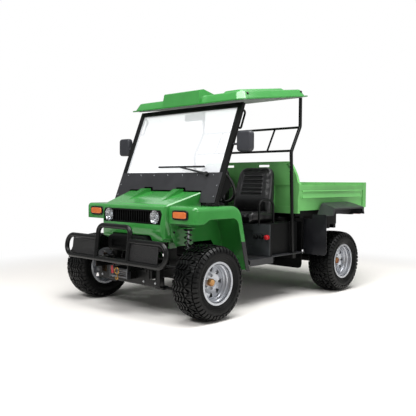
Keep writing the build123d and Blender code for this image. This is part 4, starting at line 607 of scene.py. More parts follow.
# The wheels: pressed steel with a stepped barrel, silver paint with fine metal flake, five bright nuts and a
# brass-coloured dust cap on the hub.
NUTS = 5
NUT_CIRCLE = 0.053
CAP_R, CAP_PROUD = 0.0305, 0.0185
wheel_silver = grained("silver_flake_wheel_paint", "#b2b5bb", 0.3, 0.8, 0.02, drift=0.05, metallic=0.55,
                       coat=0.3)
brass_cap = grained("brass_dust_cap", "#b98f5a", 0.25, 2.0, 0.03, metallic=0.8, second="#7a4527")
nut_mesh = joined(prism(ring_points(0.0125, 16), (-0.001, 0.003, 0.004), (1, 1, 0.9)),
                  prism(ring_points(0.0098, 6), (0.003, 0.013, 0.0155), (1, 1, 0.82)),
                  prism(ring_points(0.0072, 12), (0.014, 0.019, 0.021), (1, 0.9, 0.5)))
for end in ("front", "rear"):
    for side, outer in (("left", 1), ("right", -1)):
        node = f"rim_{end}_{side}"
        low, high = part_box(f"tyre_{end}_{side}")
        hub = (low + high) / 2

        def on_cap(face, hub=hub, outer=outer):
            offs = [v.co - hub for v in face.verts]
            proud = max(o.y * outer for o in offs) > CAP_PROUD
            return proud and all(math.hypot(o.x, o.z) < CAP_R for o in offs)

        crisp_copy(node, [wheel_silver, brass_cap], 0.8, pick=on_cap)
        spots = []
        for i in range(NUTS):
            angle = math.tau * (i + 0.5) / NUTS
            start = hub + Vector((NUT_CIRCLE * math.cos(angle), 0.2 * outer, NUT_CIRCLE * math.sin(angle)))
            spots.append(touch(node, start, (0, -outer, 0)))
        scatter(node + "_nuts", spots, nut_mesh, zinc, BODY_OF[node])

# The cab floor: a dark grey moulded pan with a black ribbed rubber mat, and the seat base behind it with its
# three control knobs, two black and one red.
MAT_RIB = 0.012
MAT_HALF, MAT_FROM, MAT_RIBS = 0.6, 0.268, 22
grey_plastic = grained("dark_grey_grained_abs", "#1c1d20", 0.48, 1.4, 0.08)
black_plastic = grained("black_grained_abs", "#090a0a", 0.46, 1.4, 0.08, shine=0.12)
mat_rubber = grained("black_mat_rubber", "#111213", 0.7, 1.5, 0.15)
crisp_copy("floor_pan", [grey_plastic])
# The seat base's front face is painted a lighter grey than its black sides: painted light, for the light that
# face catches.
seat_front_painted_light = grained("grey_seat_front_painted_light", "#3e4144", 0.45, 1.4, 0.06)
crisp_copy("seat_base", [black_plastic, seat_front_painted_light], 3.0, pick=lambda face: face.normal.x > 0.8)
crisp_copy("battery_pack", [black_plastic])
floor_top = touch("floor_pan", (0.42, 0.5, 0.6), (0, 0, -1)).translation.z


def slab(half_a, half_b):
    """A rectangle's corners about its middle."""
    return [(-half_a, -half_b), (half_a, -half_b), (half_a, half_b), (-half_a, half_b)]


rib_mesh = prism(slab(MAT_HALF, MAT_RIB * 0.3), (-0.001, 0.002, 0.0032), (1, 1, 0.995))
crosswise = Matrix.Rotation(math.radians(90), 4, "Z")
rib_spots = [Matrix.Translation((MAT_FROM + MAT_RIB * i, 0, floor_top)) @ crosswise for i in range(MAT_RIBS)]
scatter("floor_mat_ribs", rib_spots, rib_mesh, mat_rubber, "chassis")
knob_red = grained("red_knob_plastic", "#c5232c", 0.3, 2.0, 0.02, drift=0.05)
knob_black = grained("black_knob_plastic", "#0f1011", 0.3, 2.0, 0.02)
knob_low, knob_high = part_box("control_knobs")
knob_z = (knob_low.z + knob_high.z) / 2
knob_r = (knob_high.z - knob_low.z) / 2
knob_form = [(0, 0), (0.022, 0), (0.022, 0.004), (0.011, 0.006), (0.009, 0.014), (0.018, 0.018),
             (0.0215, 0.023), (0.0205, 0.029), (0.014, 0.033), (0, 0.0345)]
knob_span = knob_high.y - knob_low.y - 2 * knob_r
knob_places = [(knob_low.x, knob_low.y + knob_r + knob_span * share, knob_z) for share in (0.0, 0.5, 1.0)]
knobs = [turned(knob_form, facing(spot, (1, 0, 0)), 28) for spot in knob_places]
dressed("control_knobs_black", joined(*knobs[:2]), knob_black, "chassis", "black_plastic", "control_knobs")
dressed("control_knob_red", knobs[2], knob_red, "chassis", "red_lamp")

# The bucket seats: foam under black vinyl, each with a cushion and a tall back whose top is narrower. Both
# swell between their seams, the back has side bolsters and a middle panel sewn in five level channels.
VINYL_VOXEL = 0.0065
SWELL_CAP = 0.007
SWELL_PRESSURE, SWELL_STEPS = 4.0, 20


def lofted(rings):
    """A closed mesh through rings of equal length, with both ends filled."""
    work = bmesh.new()
    rows = [[work.verts.new(p) for p in ring] for ring in rings]
    count = len(rings[0])
    for lower, upper in zip(rows, rows[1:]):
        for i in range(count):
            work.faces.new((lower[i], lower[(i + 1) % count], upper[(i + 1) % count], upper[i]))
    work.faces.new(rows[0])
    work.faces.new(rows[-1])
    return made_mesh(work, "lofted")


def squarish(half_a, half_b, power, steps=56):
    """A rounded rectangle as a superellipse: (a, b) points round a closed ring."""
    def swollen(share):
        return math.copysign(abs(share) ** (2 / power), share)

    return [(half_a * swollen(c), half_b * swollen(s)) for c, s in ring_points(1, steps)]


def puffed(mesh, voxel, cap):
    """The mesh as cloth blown up a little by pressure, with a cap on how far a point may move."""
    host = link_object("puff", mesh.copy())
    remesh = host.modifiers.new("voxels", "REMESH")
    remesh.mode = "VOXEL"
    remesh.voxel_size = voxel
    even = evaluated(host)
    host = link_object("puff_cloth", even.copy())
    cloth = host.modifiers.new("cloth", "CLOTH").settings
    cloth.use_pressure = True
    cloth.uniform_pressure_force = SWELL_PRESSURE
    cloth.effector_weights.gravity = 0.0
    cloth.quality = 4
    for number in range(1, SWELL_STEPS + 1):
        scene.frame_set(number)
    blown = evaluated(host)
    scene.frame_set(1)
    for old, new in zip(even.vertices, blown.vertices):
        step = new.co - old.co
        if step.length > cap:
            step = step * (cap / step.length)
        old.co = old.co + step
    return even


def groove(distance, width):
    """1 in the middle of a seam, falling to 0 at its width."""
    return max(0.0, 1 - (distance / width) ** 2) ** 2


def sewn(mesh, depth_at):
    """Pushes each point in along its normal by the depth of the seams there, after one subdivision."""
    host = link_object("sewing", mesh)
    finer = host.modifiers.new("finer", "SUBSURF")
    finer.levels = 1
    finer.render_levels = 1
    fine = evaluated(host)
    moved = [v.co - v.normal * depth_at(v.co, v.normal) for v in fine.vertices]
    for v, co in zip(fine.vertices, moved):
        v.co = co
    fine.polygons.foreach_set("use_smooth", [True] * len(fine.polygons))
    return fine


seat_low, seat_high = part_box("driver_seat")
SEAT_Y = (seat_low.y + seat_high.y) / 2
SEAT_HALF = (seat_high.y - seat_low.y) / 2 + 0.014
CUSHION_TOP = 0.805
CUSHION_FRONT = seat_high.x
CUSHION_REAR = -0.055
BACK_FOOT = Vector((0.005, SEAT_Y, 0.775))
BACK_LEAN = math.radians(9)
BACK_RISE = seat_high.z - BACK_FOOT.z - 0.004
cushion_rings = []
for i in range(25):
    share = i / 24
    x = CUSHION_REAR + (CUSHION_FRONT - 0.006 - CUSHION_REAR) * share
    end = min(1.0, math.sqrt(max(0.02, 1 - ((share - 0.5) / 0.5) ** 8)))
    half = (SEAT_HALF - 0.008) * (0.90 + 0.10 * end)
    tall = (CUSHION_TOP - seat_low.z - 0.006) * (0.45 + 0.55 * end) / 2
    base = seat_low.z + 0.004 + tall
    ring = []
    for y, z in squarish(half, tall, 4.5):
        bolster = 0.016 * (abs(y) / half) ** 3 - 0.008 if z > 0 else 0
        dip = 0.016 * math.sin(math.pi * share) if z > 0 else 0
        ring.append((x, SEAT_Y + y, base + z + bolster * z / tall - dip * (z / tall) * (1 - (y / half) ** 2)))
    cushion_rings.append(ring)
back_rings = []
for i in range(31):
    share = i / 30
    taper = 1 - 0.17 * max(0, (share - 0.30) / 0.70) ** 1.6
    crown = math.sqrt(max(0.012, 1 - max(0, (share - 0.80) / 0.20) ** 2.6))
    foot = math.sqrt(max(0.05, 1 - max(0, (0.10 - share) / 0.10) ** 2.5))
    half = (SEAT_HALF - 0.010) * taper * (0.62 + 0.38 * crown)
    thick = 0.050 * (1 - 0.22 * share) * min(0.35 + 0.65 * crown, 0.5 + 0.5 * foot)
    spine = BACK_FOOT + Vector((-math.sin(BACK_LEAN), 0, math.cos(BACK_LEAN))) * BACK_RISE * share
    ring = []
    for y, x in squarish(half, thick, 4.0):
        bolster = 0.034 * (abs(y) / half) ** 4 * (1 - share * 0.5) if x > 0 else 0
        lumbar = 0.010 * math.sin(math.pi * min(1, share * 1.6)) if x > 0 else 0
        ring.append((spine.x + x + (bolster + lumbar) * x / thick, spine.y + y, spine.z))
    back_rings.append(ring)

CHANNELS = (0.41, 0.50, 0.59, 0.68, 0.77, 0.86)
PANEL_HALF = 0.128
CUSHION_PANEL = 0.150
SEAM_DEEP, SEAM_WIDE, CHANNEL_WIDE = 0.005, 0.010, 0.014
WELT_DEEP, WELT_WIDE, WELT_BACK = 0.0045, 0.008, 0.028


def panel_half(share):
    """Half the width of a back's middle panel at a share of its height."""
    return PANEL_HALF - 0.03 * max(0, share - 0.4)


def back_seams(point, normal):
    """The channels and the panel's border on the front of a back."""
    rise = point.z - BACK_FOOT.z
    share = rise / (BACK_RISE * math.cos(BACK_LEAN))
    if normal.x < 0.25:
        spine_x = BACK_FOOT.x - math.tan(BACK_LEAN) * rise
        return WELT_DEEP * groove(abs(point.x - spine_x + WELT_BACK), WELT_WIDE)
    off = abs(point.y - SEAT_Y)
    half = panel_half(share)
    border = groove(abs(off - half), SEAM_WIDE) if CHANNELS[0] < share < CHANNELS[-1] else 0
    deep = 0.0
    if off < half:
        deep = max(groove(abs(share - line) * BACK_RISE, CHANNEL_WIDE) for line in CHANNELS)
    return SEAM_DEEP * max(border, deep)


def cushion_seams(point, normal):
    """The welt round the top of a cushion and the border of its middle panel."""
    off = abs(point.y - SEAT_Y)
    if normal.z > 0.3:
        panel = groove(abs(off - CUSHION_PANEL), SEAM_WIDE)
        cross = groove(abs(point.x - 0.215), SEAM_WIDE) if off < CUSHION_PANEL else 0
        return SEAM_DEEP * max(panel, cross)
    return 0.004 * groove(abs(point.z - (CUSHION_TOP - 0.034)), WELT_WIDE)


# Vinyl is embossed like leather. Its plastic skin gives soft streaks of light along each swell.
vinyl = grained("black_upholstery_vinyl", "#0a0a0b", 0.32, 2.2, 0.12, coat=0.25)
thread_grey = grained("grey_polyester_thread", "#3a3a3d", 0.6, 0.6, 0.05)
driver_cushion = sewn(puffed(lofted(cushion_rings), VINYL_VOXEL, SWELL_CAP), cushion_seams)
driver_back = sewn(puffed(lofted(back_rings), VINYL_VOXEL, SWELL_CAP), back_seams)
stitch = prism(slab(0.0042, 0.0009), (-0.0008, 0.0007, 0.0012), (1, 1, 0.7))
skin = BVHTree.FromPolygons([v.co for v in driver_back.vertices], [p.vertices for p in driver_back.polygons])
STITCHES, STITCH_OFF = 26, 0.013
stitch_spots = []
for way in (-1, 1):
    for i in range(STITCHES):
        share = CHANNELS[0] + (CHANNELS[-1] - CHANNELS[0]) * i / (STITCHES - 1)
        z = BACK_FOOT.z + share * BACK_RISE * math.cos(BACK_LEAN)
        y = SEAT_Y + way * (panel_half(share) + STITCH_OFF)
        point, normal, _, _ = skin.ray_cast(Vector((0.6, y, z)), Vector((-1, 0, 0)))
        if point is not None:
            along = (Vector((0, 0, 1)) - normal * normal.z).normalized()
            turn = Matrix((along, normal.cross(along), normal)).transposed().to_4x4()
            stitch_spots.append(Matrix.Translation(point) @ turn)
for node, shift in (("driver_seat", 0.0), ("passenger_seat", -2 * SEAT_Y)):
    step = Matrix.Translation((0, shift, 0))
    for part_name, mesh in (("back", driver_back), ("cushion", driver_cushion)):
        own = mesh.copy()
        own.transform(step)
        piece = dressed(f"{node}_{part_name}", own, vinyl, "chassis", "seat_cover")
        if part_name == "back":
            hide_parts(node)
    own_spots = [step @ spot for spot in stitch_spots]
    scatter(node + "_stitches", own_spots, stitch, thread_grey, "chassis")
crisp_copy("hip_hoops", [powder_coat])

# The nose, bonnet and front fenders: one colour of green plastic, injection moulded with a gloss face, so it
# shows soft broad highlights and a faint flow ripple. Below the lip each fender's rear edge is a black flap.
FLAP_LIP = 0.572
green_plastic = grained("green_gloss_moulding", "#368a3c", 0.2, 9.0, 0.05, drift=0.05, coat=0.5)
flap_rubber = grained("black_flap_rubber", "#101113", 0.6, 1.5, 0.1)
crisp_copy("bonnet", [green_plastic], 5.0, 35)
TOWER_FOOT, TOWER_REAR = 0.52, 0.9


def on_tower(face):
    """True for the upright faces of the frame's two front towers, which are painted with the body."""
    middle = face.calc_center_median()
    return middle.z > TOWER_FOOT and middle.x > TOWER_REAR and face.normal.z < 0.5


crisp_copy("chassis_frame", [powder_coat, green_plastic], cuts=[((0, 0, TOWER_FOOT), (0, 0, 1))],
           pick=on_tower)


def on_flap(face):
    """True for the faces of a fender's rear edge below its lip."""
    middle = face.calc_center_median()
    return middle.z < FLAP_LIP and middle.x < 0.8 and (abs(middle.y) > 0.655 or face.normal.x < -0.3)


for node in ("front_fender_left", "front_fender_right"):
    crisp_copy(node, [green_plastic, flap_rubber], 2.0, 35, cuts=[((0, 0, FLAP_LIP), (0, 0, 1))],
               pick=on_flap)
WING_Y, WING_HALF = 0.402, 0.0015
wing_outline = [(0.860, 0.600), (0.960, 0.548), (1.130, 0.548), (1.185, 0.640), (1.185, 0.800),
                (0.860, 0.800)]
wings = []
for side in (1, -1):
    wing = prism(wing_outline, (-WING_HALF, WING_HALF), (1, 1))
    wing.transform(Matrix.Translation((0, side * WING_Y, 0)) @ Matrix.Rotation(math.radians(90), 4, "X"))
    wings.append(wing)
dressed("inner_wing_panels", joined(*wings), green_plastic, "chassis", "green_plastic")
wing_spots = [facing((1.150, side * (WING_Y + WING_HALF), 0.66), (0, side, 0)) for side in (1, -1)]
scatter("inner_wing_bolts", wing_spots, bolt_mesh(14), powder_coat, "chassis")
flap_spots = []
for node, side in (("front_fender_left", 1), ("front_fender_right", -1)):
    for z in (0.36, 0.45, 0.54):
        flap_spots.append(touch(node, (0.3, side * 0.62, z), (1, 0, 0)))
scatter("flap_screws", flap_spots, bolt_mesh(8), zinc, "chassis")

# The grille: a black moulding with upright slats. In it sit two round headlamps, each a bright bowl with a
# projector lens behind a clear cover, and a chromed ring.
crisp_copy("grille", [black_plastic], 1.0)
chrome = grained("chrome_plate", "#9ea1a5", 0.1, 3.0, 0.01, drift=0.04, metallic=1.0)
bezel_black = grained("gloss_black_bezel", "#0b0b0c", 0.2, 3.0, 0.02)
projector, tree, shader, place = start_material("projector_lens_glass")
shader.inputs["Base Color"].default_value = linear("#8f979e")
shader.inputs["Roughness"].default_value = 0.03
shader.inputs["Coat Weight"].default_value = 1.0
shader.inputs["Metallic"].default_value = 0.55
rings = add_node(tree, "ShaderNodeTexNoise", {"Vector": place, "Scale": 60.0, "Detail": 1.0})
bend = add_node(tree, "ShaderNodeBump", {"Height": rings.outputs["Fac"], "Distance": 0.0004, "Strength": 0.3})
tree.links.new(bend.outputs[0], shader.inputs["Normal"])
clear_cover, tree, shader, place = start_material("clear_polycarbonate_cover")
shader.inputs["Base Color"].default_value = linear("#f2f5f7")
shader.inputs["Roughness"].default_value = 0.03
shader.inputs["Alpha"].default_value = 0.08
lamp_low, lamp_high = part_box("headlamps")
LAMP_HOLE_R = (lamp_high.z - lamp_low.z) / 2
lamp_z = (lamp_low.z + lamp_high.z) / 2
lamp_y = lamp_high.y - LAMP_HOLE_R
LAMP_DEEP = 0.045
BOWL = [(0, 0), (0.046, 0), (0.046, 0.040), (0.0535, 0.0455), (0.0555, 0.048), (0.0545, 0.0505),
        (0.051, 0.049), (0.044, 0.040), (0.036, 0.026), (0.026, 0.018), (0, 0.018)]
BEZEL = [(0.0540, 0.0452), (0.0580, 0.0452), (0.0580, 0.0515), (0.0560, 0.0535), (0.0540, 0.0520)]
COLLAR = [(0.0265, 0.018), (0.031, 0.018), (0.030, 0.027), (0.027, 0.028)]
PROJECTOR = [(0, 0.0385), (0.010, 0.0373), (0.019, 0.0330), (0.025, 0.0265), (0.026, 0.0190), (0, 0.0190)]
COVER = [(0, 0.0640), (0.018, 0.0628), (0.034, 0.0590), (0.046, 0.0535), (0.052, 0.0500), (0.0515, 0.0485),
         (0.0455, 0.0515), (0.034, 0.0568), (0.018, 0.0606), (0, 0.0618)]
bowls, rims, bezels, lenses, covers = [], [], [], [], []
for y in (lamp_y, -lamp_y):
    seat = facing((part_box("grille")[1].x - LAMP_DEEP, y, lamp_z), (1, 0, 0))
    bowls.append(turned(BOWL, seat, 48))
    bezels.append(turned(BEZEL, seat, 56, closed=True))
    rims.append(turned(COLLAR, seat, 40, closed=True))
    lenses.append(turned(PROJECTOR, seat, 40))
    covers.append(turned(COVER, seat, 48))
dressed("headlamp_bezels", joined(*bezels), bezel_black, "chassis", "black_plastic")
dressed("headlamp_bowls", joined(*bowls), chrome, "chassis", "clear_lamp", "headlamps")
dressed("headlamp_rings", joined(*rims), chrome, "chassis", "steel")
dressed("headlamp_projectors", joined(*lenses), projector, "chassis", "clear_lamp")
dressed("headlamp_covers", joined(*covers), clear_cover, "chassis", "clear_lamp")

# The turn lamps: moulded orange acrylic lenses with upright ribs inside, each snapped into a gloss black
# surround that is screwed to the front of its fender. The ribs show as soft stripes in the orange.
RIB_MM = 9.0
amber, tree, shader, place = start_material("orange_ribbed_acrylic")
shader.inputs["Roughness"].default_value = 0.12
shader.inputs["Coat Weight"].default_value = 0.5
cloud = add_node(tree, "ShaderNodeTexNoise", {"Vector": place, "Scale": 20.0})
tone = add_node(tree, "ShaderNodeMix", {0: cloud.outputs["Fac"], 6: linear("#d8622c"), 7: linear("#e58a4e")},
                data_type="RGBA")
ribs = add_node(tree, "ShaderNodeTexWave", {"Vector": place, "Scale": 1000 / (RIB_MM * math.tau)},
                bands_direction="Y")
bend = add_node(tree, "ShaderNodeBump", {"Height": ribs.outputs["Fac"], "Distance": 0.001, "Strength": 0.6})
tree.links.new(tone.outputs[2], shader.inputs["Base Color"])
tree.links.new(bend.outputs[0], shader.inputs["Normal"])
turn_low, turn_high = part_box("turn_lamps")
TURN_LONG, TURN_TALL = 0.165, turn_high.z - turn_low.z
plates, ambers = [], []
for side in (1, -1):
    turn_y, turn_z = side * (turn_high.y - TURN_LONG / 2), (turn_low.z + turn_high.z) / 2
    seat = facing((turn_low.x, turn_y, turn_z), (1, 0, 0))
    plate = prism(squarish(TURN_LONG / 2 + 0.005, TURN_TALL / 2 + 0.004, 5.0), (-0.003, 0.007, 0.010),
                  (1, 1, 0.97))
    lens = prism(squarish(TURN_LONG / 2 - 0.010, TURN_TALL / 2 - 0.009, 6.0), (0.008, 0.014, 0.0168, 0.018),
                 (1, 1, 0.96, 0.88))
    plate.transform(seat)
    lens.transform(seat)
    plates.append(plate)
    ambers.append(lens)
dressed("turn_lamp_surrounds", joined(*plates), bezel_black, "chassis", "black_plastic")
dressed("turn_lamp_lenses", joined(*ambers), amber, "chassis", "orange_lamp", "turn_lamps")

# The front bar: bent steel tube in gloss black enamel, with a wire mesh plate in each wing, over a moulded
# black bumper block.
bar_enamel = grained("gloss_black_tube_enamel", "#060707", 0.3, 6.0, 0.03, drift=0.1, shine=0.28)
crisp_copy("bull_bar", [bar_enamel], 1.0)
crisp_copy("front_bumper", [black_plastic], 4.0)
WIRE_PITCH = 0.0062
WIRE_R, WIRE_LAP = 0.0022, 0.0012
BAR_LEAN = math.radians(-7)
BAR_FOOT = Vector((cad_high.x - 0.020, 0, 0.430))
tilt = Matrix.Translation(BAR_FOOT) @ Matrix.Rotation(BAR_LEAN, 4, "Y")
MESH_LOW_Y, MESH_HIGH_Y = 0.2255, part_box("bull_bar_mesh")[1].y
MESH_LOW_Z, MESH_HIGH_Z = 0.0205, 0.1495
BORDER_THICK, BORDER_HALF = 0.002, 0.005
half_level = (MESH_HIGH_Y - MESH_LOW_Y) / 2
level_wire = prism(ring_points(WIRE_R, 6), (-half_level, half_level), (1, 1))
upright_wire = prism(ring_points(WIRE_R, 6), (MESH_LOW_Z, MESH_HIGH_Z), (1, 1))
border_y = prism(slab(BORDER_THICK, BORDER_HALF), (-half_level, half_level), (1, 1))
border_z = prism(slab(BORDER_THICK, BORDER_HALF), (MESH_LOW_Z, MESH_HIGH_Z), (1, 1))
sideways = Matrix.Rotation(math.radians(-90), 4, "X")
level_spots, upright_spots, border_y_spots, border_z_spots = [], [], [], []
for side in (1, -1):
    middle_y = side * (MESH_LOW_Y + MESH_HIGH_Y) / 2
    for i in range(1, int((MESH_HIGH_Z - MESH_LOW_Z) / WIRE_PITCH) + 1):
        level = Matrix.Translation((WIRE_LAP, middle_y, MESH_LOW_Z + WIRE_PITCH * i))
        level_spots.append(tilt @ level @ sideways)
    for i in range(1, int((MESH_HIGH_Y - MESH_LOW_Y) / WIRE_PITCH) + 1):
        upright_spots.append(tilt @ Matrix.Translation((-WIRE_LAP, side * (MESH_LOW_Y + WIRE_PITCH * i), 0)))
    for z in (MESH_LOW_Z + BORDER_HALF, MESH_HIGH_Z - BORDER_HALF):
        border_y_spots.append(tilt @ Matrix.Translation((0, middle_y, z)) @ sideways)
    for y in (MESH_LOW_Y + BORDER_HALF, MESH_HIGH_Y - BORDER_HALF):
        border_z_spots.append(tilt @ Matrix.Translation((0, side * y, 0)))
wire_black = grained("black_coated_wire", "#131315", 0.45, 1.5, 0.03)
scatter("bar_mesh_level_wires", level_spots, level_wire, wire_black, "chassis")
scatter("bar_mesh_upright_wires", upright_spots, upright_wire, wire_black, "chassis")
scatter("bar_mesh_level_borders", border_y_spots, border_y, wire_black, "chassis")
borders = scatter("bar_mesh_upright_borders", border_z_spots, border_z, wire_black, "chassis")
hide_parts("bull_bar_mesh")

# The winch, bolted low between the frame's front plates: a powder-coated drum housing with dull zinc rollers,
# a brass-coloured ring with its hook, a red clutch knob and a short red pull strap.
winch_low, winch_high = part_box("winch")
ROLLER_BACK = winch_high.x - 0.042
grey_zinc = grained("grey_zinc_plate", "#6c6e71", 0.34, 2.0, 0.04, metallic=1.0)
crisp_copy("winch", [powder_coat, grey_zinc], 1.0, cuts=[((ROLLER_BACK, 0, 0), (1, 0, 0))],
           pick=lambda face: face.calc_center_median().x > ROLLER_BACK)
winch_z = (winch_low.z + winch_high.z) / 2


def swept(points, radius, steps=10):
    """A smooth round bar through points, as a mesh."""
    data = bpy.data.curves.new("swept", "CURVE")
    data.dimensions = "3D"
    data.bevel_depth = radius
    data.bevel_resolution = 3
    data.resolution_u = steps
    data.use_fill_caps = True
    line = data.splines.new("NURBS")
    line.points.add(len(points) - 1)
    for spot, p in zip(line.points, points):
        spot.co = (*p, 1)
    line.order_u = 3
    line.use_endpoint_u = True
    host = bpy.data.objects.new("swept", data)
    scene.collection.objects.link(host)
    mesh = evaluated(host)
    mesh.polygons.foreach_set("use_smooth", [True] * len(mesh.polygons))
    return mesh


hook_brass = grained("yellow_zinc_hook", "#b08a4e", 0.3, 2.0, 0.04, metallic=0.9, second="#8d6a38")
hook_x = winch_high.x + 0.016
RING_R, RING_BAR, HOOK_BAR = 0.024, 0.0055, 0.006
ring_profile = [(RING_R + a, b) for a, b in ring_points(RING_BAR, 10)]
ring = turned(ring_profile, facing((hook_x, 0.0, winch_z + 0.020), (1, 0, 0)), 36, closed=True)
hook_bends = [(0.004, 0.002), (0.012, 0.018), (0.014, 0.038), (0.002, 0.052), (-0.014, 0.044),
              (-0.015, 0.030)]
hook = swept([(hook_x, y, winch_z - drop) for y, drop in hook_bends], HOOK_BAR)
dressed("winch_ring_and_hook", joined(ring, hook), hook_brass, "chassis", "steel")
clutch = turned([(0, 0), (0.020, 0), (0.024, 0.004), (0.024, 0.020), (0.019, 0.026), (0, 0.026)],
                facing((winch_low.x + 0.045, winch_low.y + 0.0005, winch_z), (0, -1, 0)), 28)
strap = prism(slab(0.014, 0.0012), (0, 0.004, 0.058, 0.062), (0.9, 1, 1, 0.9))
strap_turn = Matrix.Rotation(math.radians(8), 4, "X") @ Matrix.Rotation(math.radians(90), 4, "Z")
strap.transform(Matrix.Translation((hook_x - 0.004, -0.060, winch_z - 0.006)) @ strap_turn)
red_paint = grained("red_winch_paint", "#a51d22", 0.4, 2.0, 0.05)
dressed("winch_clutch_and_strap", joined(clutch, strap), red_paint, "chassis", "red_lamp")

# The windscreen: a folded black steel frame with a grained lower panel, hazed clear sheet in it, a wiper, two
# loop handles and the mirrors. Small bolts hold the panel along its top and at its feet.
crisp_copy("windscreen_frame", [powder_coat], 3.0)
panel_abs = grained("charcoal_grained_abs", "#232327", 0.5, 1.6, 0.1)
crisp_copy("windscreen_panel", [panel_abs], 2.0)
# The sheet glows a faint white, a painted reflection of the studio's white, so what lies behind it looks washed
# out.
glass_painted_glow, tree, shader, place = start_material("hazed_acrylic_painted_white_glow")
shader.inputs["Base Color"].default_value = linear("#eef1f5")
shader.inputs["Roughness"].default_value = 0.12
shader.inputs["Alpha"].default_value = 0.42
# This emission is painted light: a white glow that stands in for reflected studio white.
shader.inputs["Emission Color"].default_value = (1, 1, 1, 1)
shader.inputs["Emission Strength"].default_value = 0.30
glass_painted_glow.cycles.emission_sampling = "NONE"
dust = add_node(tree, "ShaderNodeTexNoise", {"Vector": place, "Scale": 9.0, "Detail": 3.0})
bend = add_node(tree, "ShaderNodeBump", {"Height": dust.outputs["Fac"], "Distance": 0.0005, "Strength": 0.1})
tree.links.new(bend.outputs[0], shader.inputs["Normal"])
crisp_copy("windscreen_glass", [glass_painted_glow], 0)
wiper_black = grained("matt_black_wiper", "#0b0c0d", 0.5, 1.5, 0.04)
crisp_copy("wiper", [wiper_black], 0.8)
crisp_copy("grab_handles", [black_plastic], 1.0)
mirror_grey = grained("charcoal_mirror_shell", "#2c2d33", 0.5, 1.4, 0.08)
mirror_glass = grained("silvered_mirror", "#c4cbd1", 0.03, 8.0, 0.005, drift=0.02, metallic=1.0)
for node in ("side_mirrors", "cabin_mirror"):
    crisp_copy(node, [mirror_grey, mirror_glass], 6.0 if node == "side_mirrors" else 4.0,
               pick=lambda face: face.normal.x < -0.9)
panel_low, panel_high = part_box("windscreen_panel")
PANEL_BOLT_STEP, PANEL_EDGE_Y = 0.18, 0.605
panel_places = [(PANEL_BOLT_STEP * i, panel_high.z - 0.022) for i in range(-3, 4)]
for y in (-PANEL_EDGE_Y, PANEL_EDGE_Y):
    for z in (panel_low.z + 0.05, panel_low.z + 0.14):
        panel_places.append((y, z))
panel_spots = [touch("windscreen_panel", (AHEAD, y, z), (-1, 0, 0)) for y, z in panel_places]
scatter("windscreen_panel_bolts", panel_spots, bolt_mesh(6), zinc, "chassis")

# The roof: a double-skinned green moulding with a raised deck and a plain box along its front, a pale lining
# under it and bolts at its corners. Behind the seats stands the tubular guard that carries its rear edge.
crisp_copy("roof", [green_plastic], 3.0, 35)
liner = grained("pale_roof_lining", "#868b89", 0.7, 2.0, 0.1)
crisp_copy("roof_liner", [liner])
crisp_copy("rear_guard", [bar_enamel], 1.0)
roof_low, roof_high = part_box("roof")
roof_spots = []
for x in (roof_low.x + 0.10, roof_high.x - 0.14):
    for y in (-0.655, 0.655):
        roof_spots.append(touch("roof", (x, y, 3.0), (0, 0, -1)))
scatter("roof_bolts", roof_spots, bolt_mesh(17), powder_coat, "chassis")

# The dashboard and steering: a grained black moulding that spans the cab, and a foam-rimmed wheel on a raked
# column. The foam's skin is smoother than the moulding and takes a soft shine.
crisp_copy("dashboard", [black_plastic], 4.0)
crisp_copy("steering_column", [black_plastic])
wheel_foam = grained("black_moulded_foam", "#0a0b0c", 0.3, 2.0, 0.08)
crisp_copy("steering_wheel", [wheel_foam], 1.0)

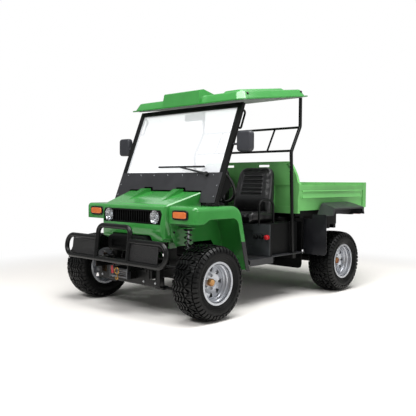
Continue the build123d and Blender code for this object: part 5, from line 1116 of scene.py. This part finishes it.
# The rear wheels' mudguards: gloss black mouldings whose front ends come down as shields ahead of the wheels,
# with the cross panel behind the seat base, flat covers along the drive bay and two red tail lamps.
guard_gloss = grained("gloss_black_moulding", "#17181c", 0.38, 4.0, 0.04, shine=0.9)
for node in ("mudguard_left", "mudguard_right"):
    crisp_copy(node, [guard_gloss], 2.0)
crisp_copy("splash_panel", [black_plastic])
BAY_MIDDLE, BAY_HALF, BAY_HEIGHTS = (-0.559, 0.502), (0.241, 0.002), (0.40, 0.766)
bay_sides = []
for side in (1, -1):
    bay_side = prism(slab(*BAY_HALF), BAY_HEIGHTS, (1, 1))
    bay_side.transform(Matrix.Translation((BAY_MIDDLE[0], side * BAY_MIDDLE[1], 0)))
    bay_sides.append(bay_side)
dressed("drive_bay_side_covers", joined(*bay_sides), black_plastic, "chassis", "black_plastic")
red_lens = grained("red_acrylic_lens", "#8d1512", 0.12, 5.0, 0.05, coat=0.5)
crisp_copy("tail_lamps", [red_lens], 3.0)

# The cargo bed: folded sheet steel in a lighter green enamel, stepped side boards, slotted headboard and a
# drop gate. Two pressed creases stiffen each side board. Its inner faces are dulled and painted paler, a
# painted highlight for the strong light they catch.
green_paint = grained("light_green_enamel", "#6fb869", 0.4, 9.0, 0.02, drift=0.05, shine=0.4)
# The paler inside paint is a painted highlight, standing in for the strong light on the inner faces.
inside_painted_highlight = grained("pale_green_enamel_painted_highlight", "#b9ceb4", 0.5, 4.0, 0.06, drift=0.08)
BED_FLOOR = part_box("bed_tub")[0].z


def inside_bed(face):
    """True for the faces that look into the load space, which get the paler painted highlight."""
    middle = face.calc_center_median()
    looks_in = face.normal.y * middle.y < -0.4 or face.normal.z > 0.6 and middle.z < BED_FLOOR + 0.06
    return looks_in and abs(middle.y) < 0.64 and middle.z < 1.02


crisp_copy("bed_tub", [green_paint, inside_painted_highlight], pick=inside_bed)
crisp_copy("tailgate", [green_paint])
CREASE_HEIGHTS = (0.978, 0.917)
CREASE_FROM, CREASE_TO = -1.37, -0.27
crease_outline = [(-0.011, -0.001), (0.034, -0.001), (0.030, 0.001), (-0.002, 0.009), (-0.006, 0.008)]
creases = []
for height in CREASE_HEIGHTS:
    for side in (1, -1):
        crease = prism(crease_outline, (CREASE_FROM, CREASE_TO), (1, 1))
        wall = touch("bed_tub", (-0.8, side * 1.5, height), (0, -side, 0)).translation.y
        crease.transform(Matrix(((0, 0, 1, 0), (0, side, 0, wall), (1, 0, 0, height), (0, 0, 0, 1))))
        if side > 0:
            crease.flip_normals()
        creases.append(crease)
dressed("bed_side_creases", joined(*creases), green_paint, BODY_OF["bed_tub"], SLOT_OF["bed_tub"])
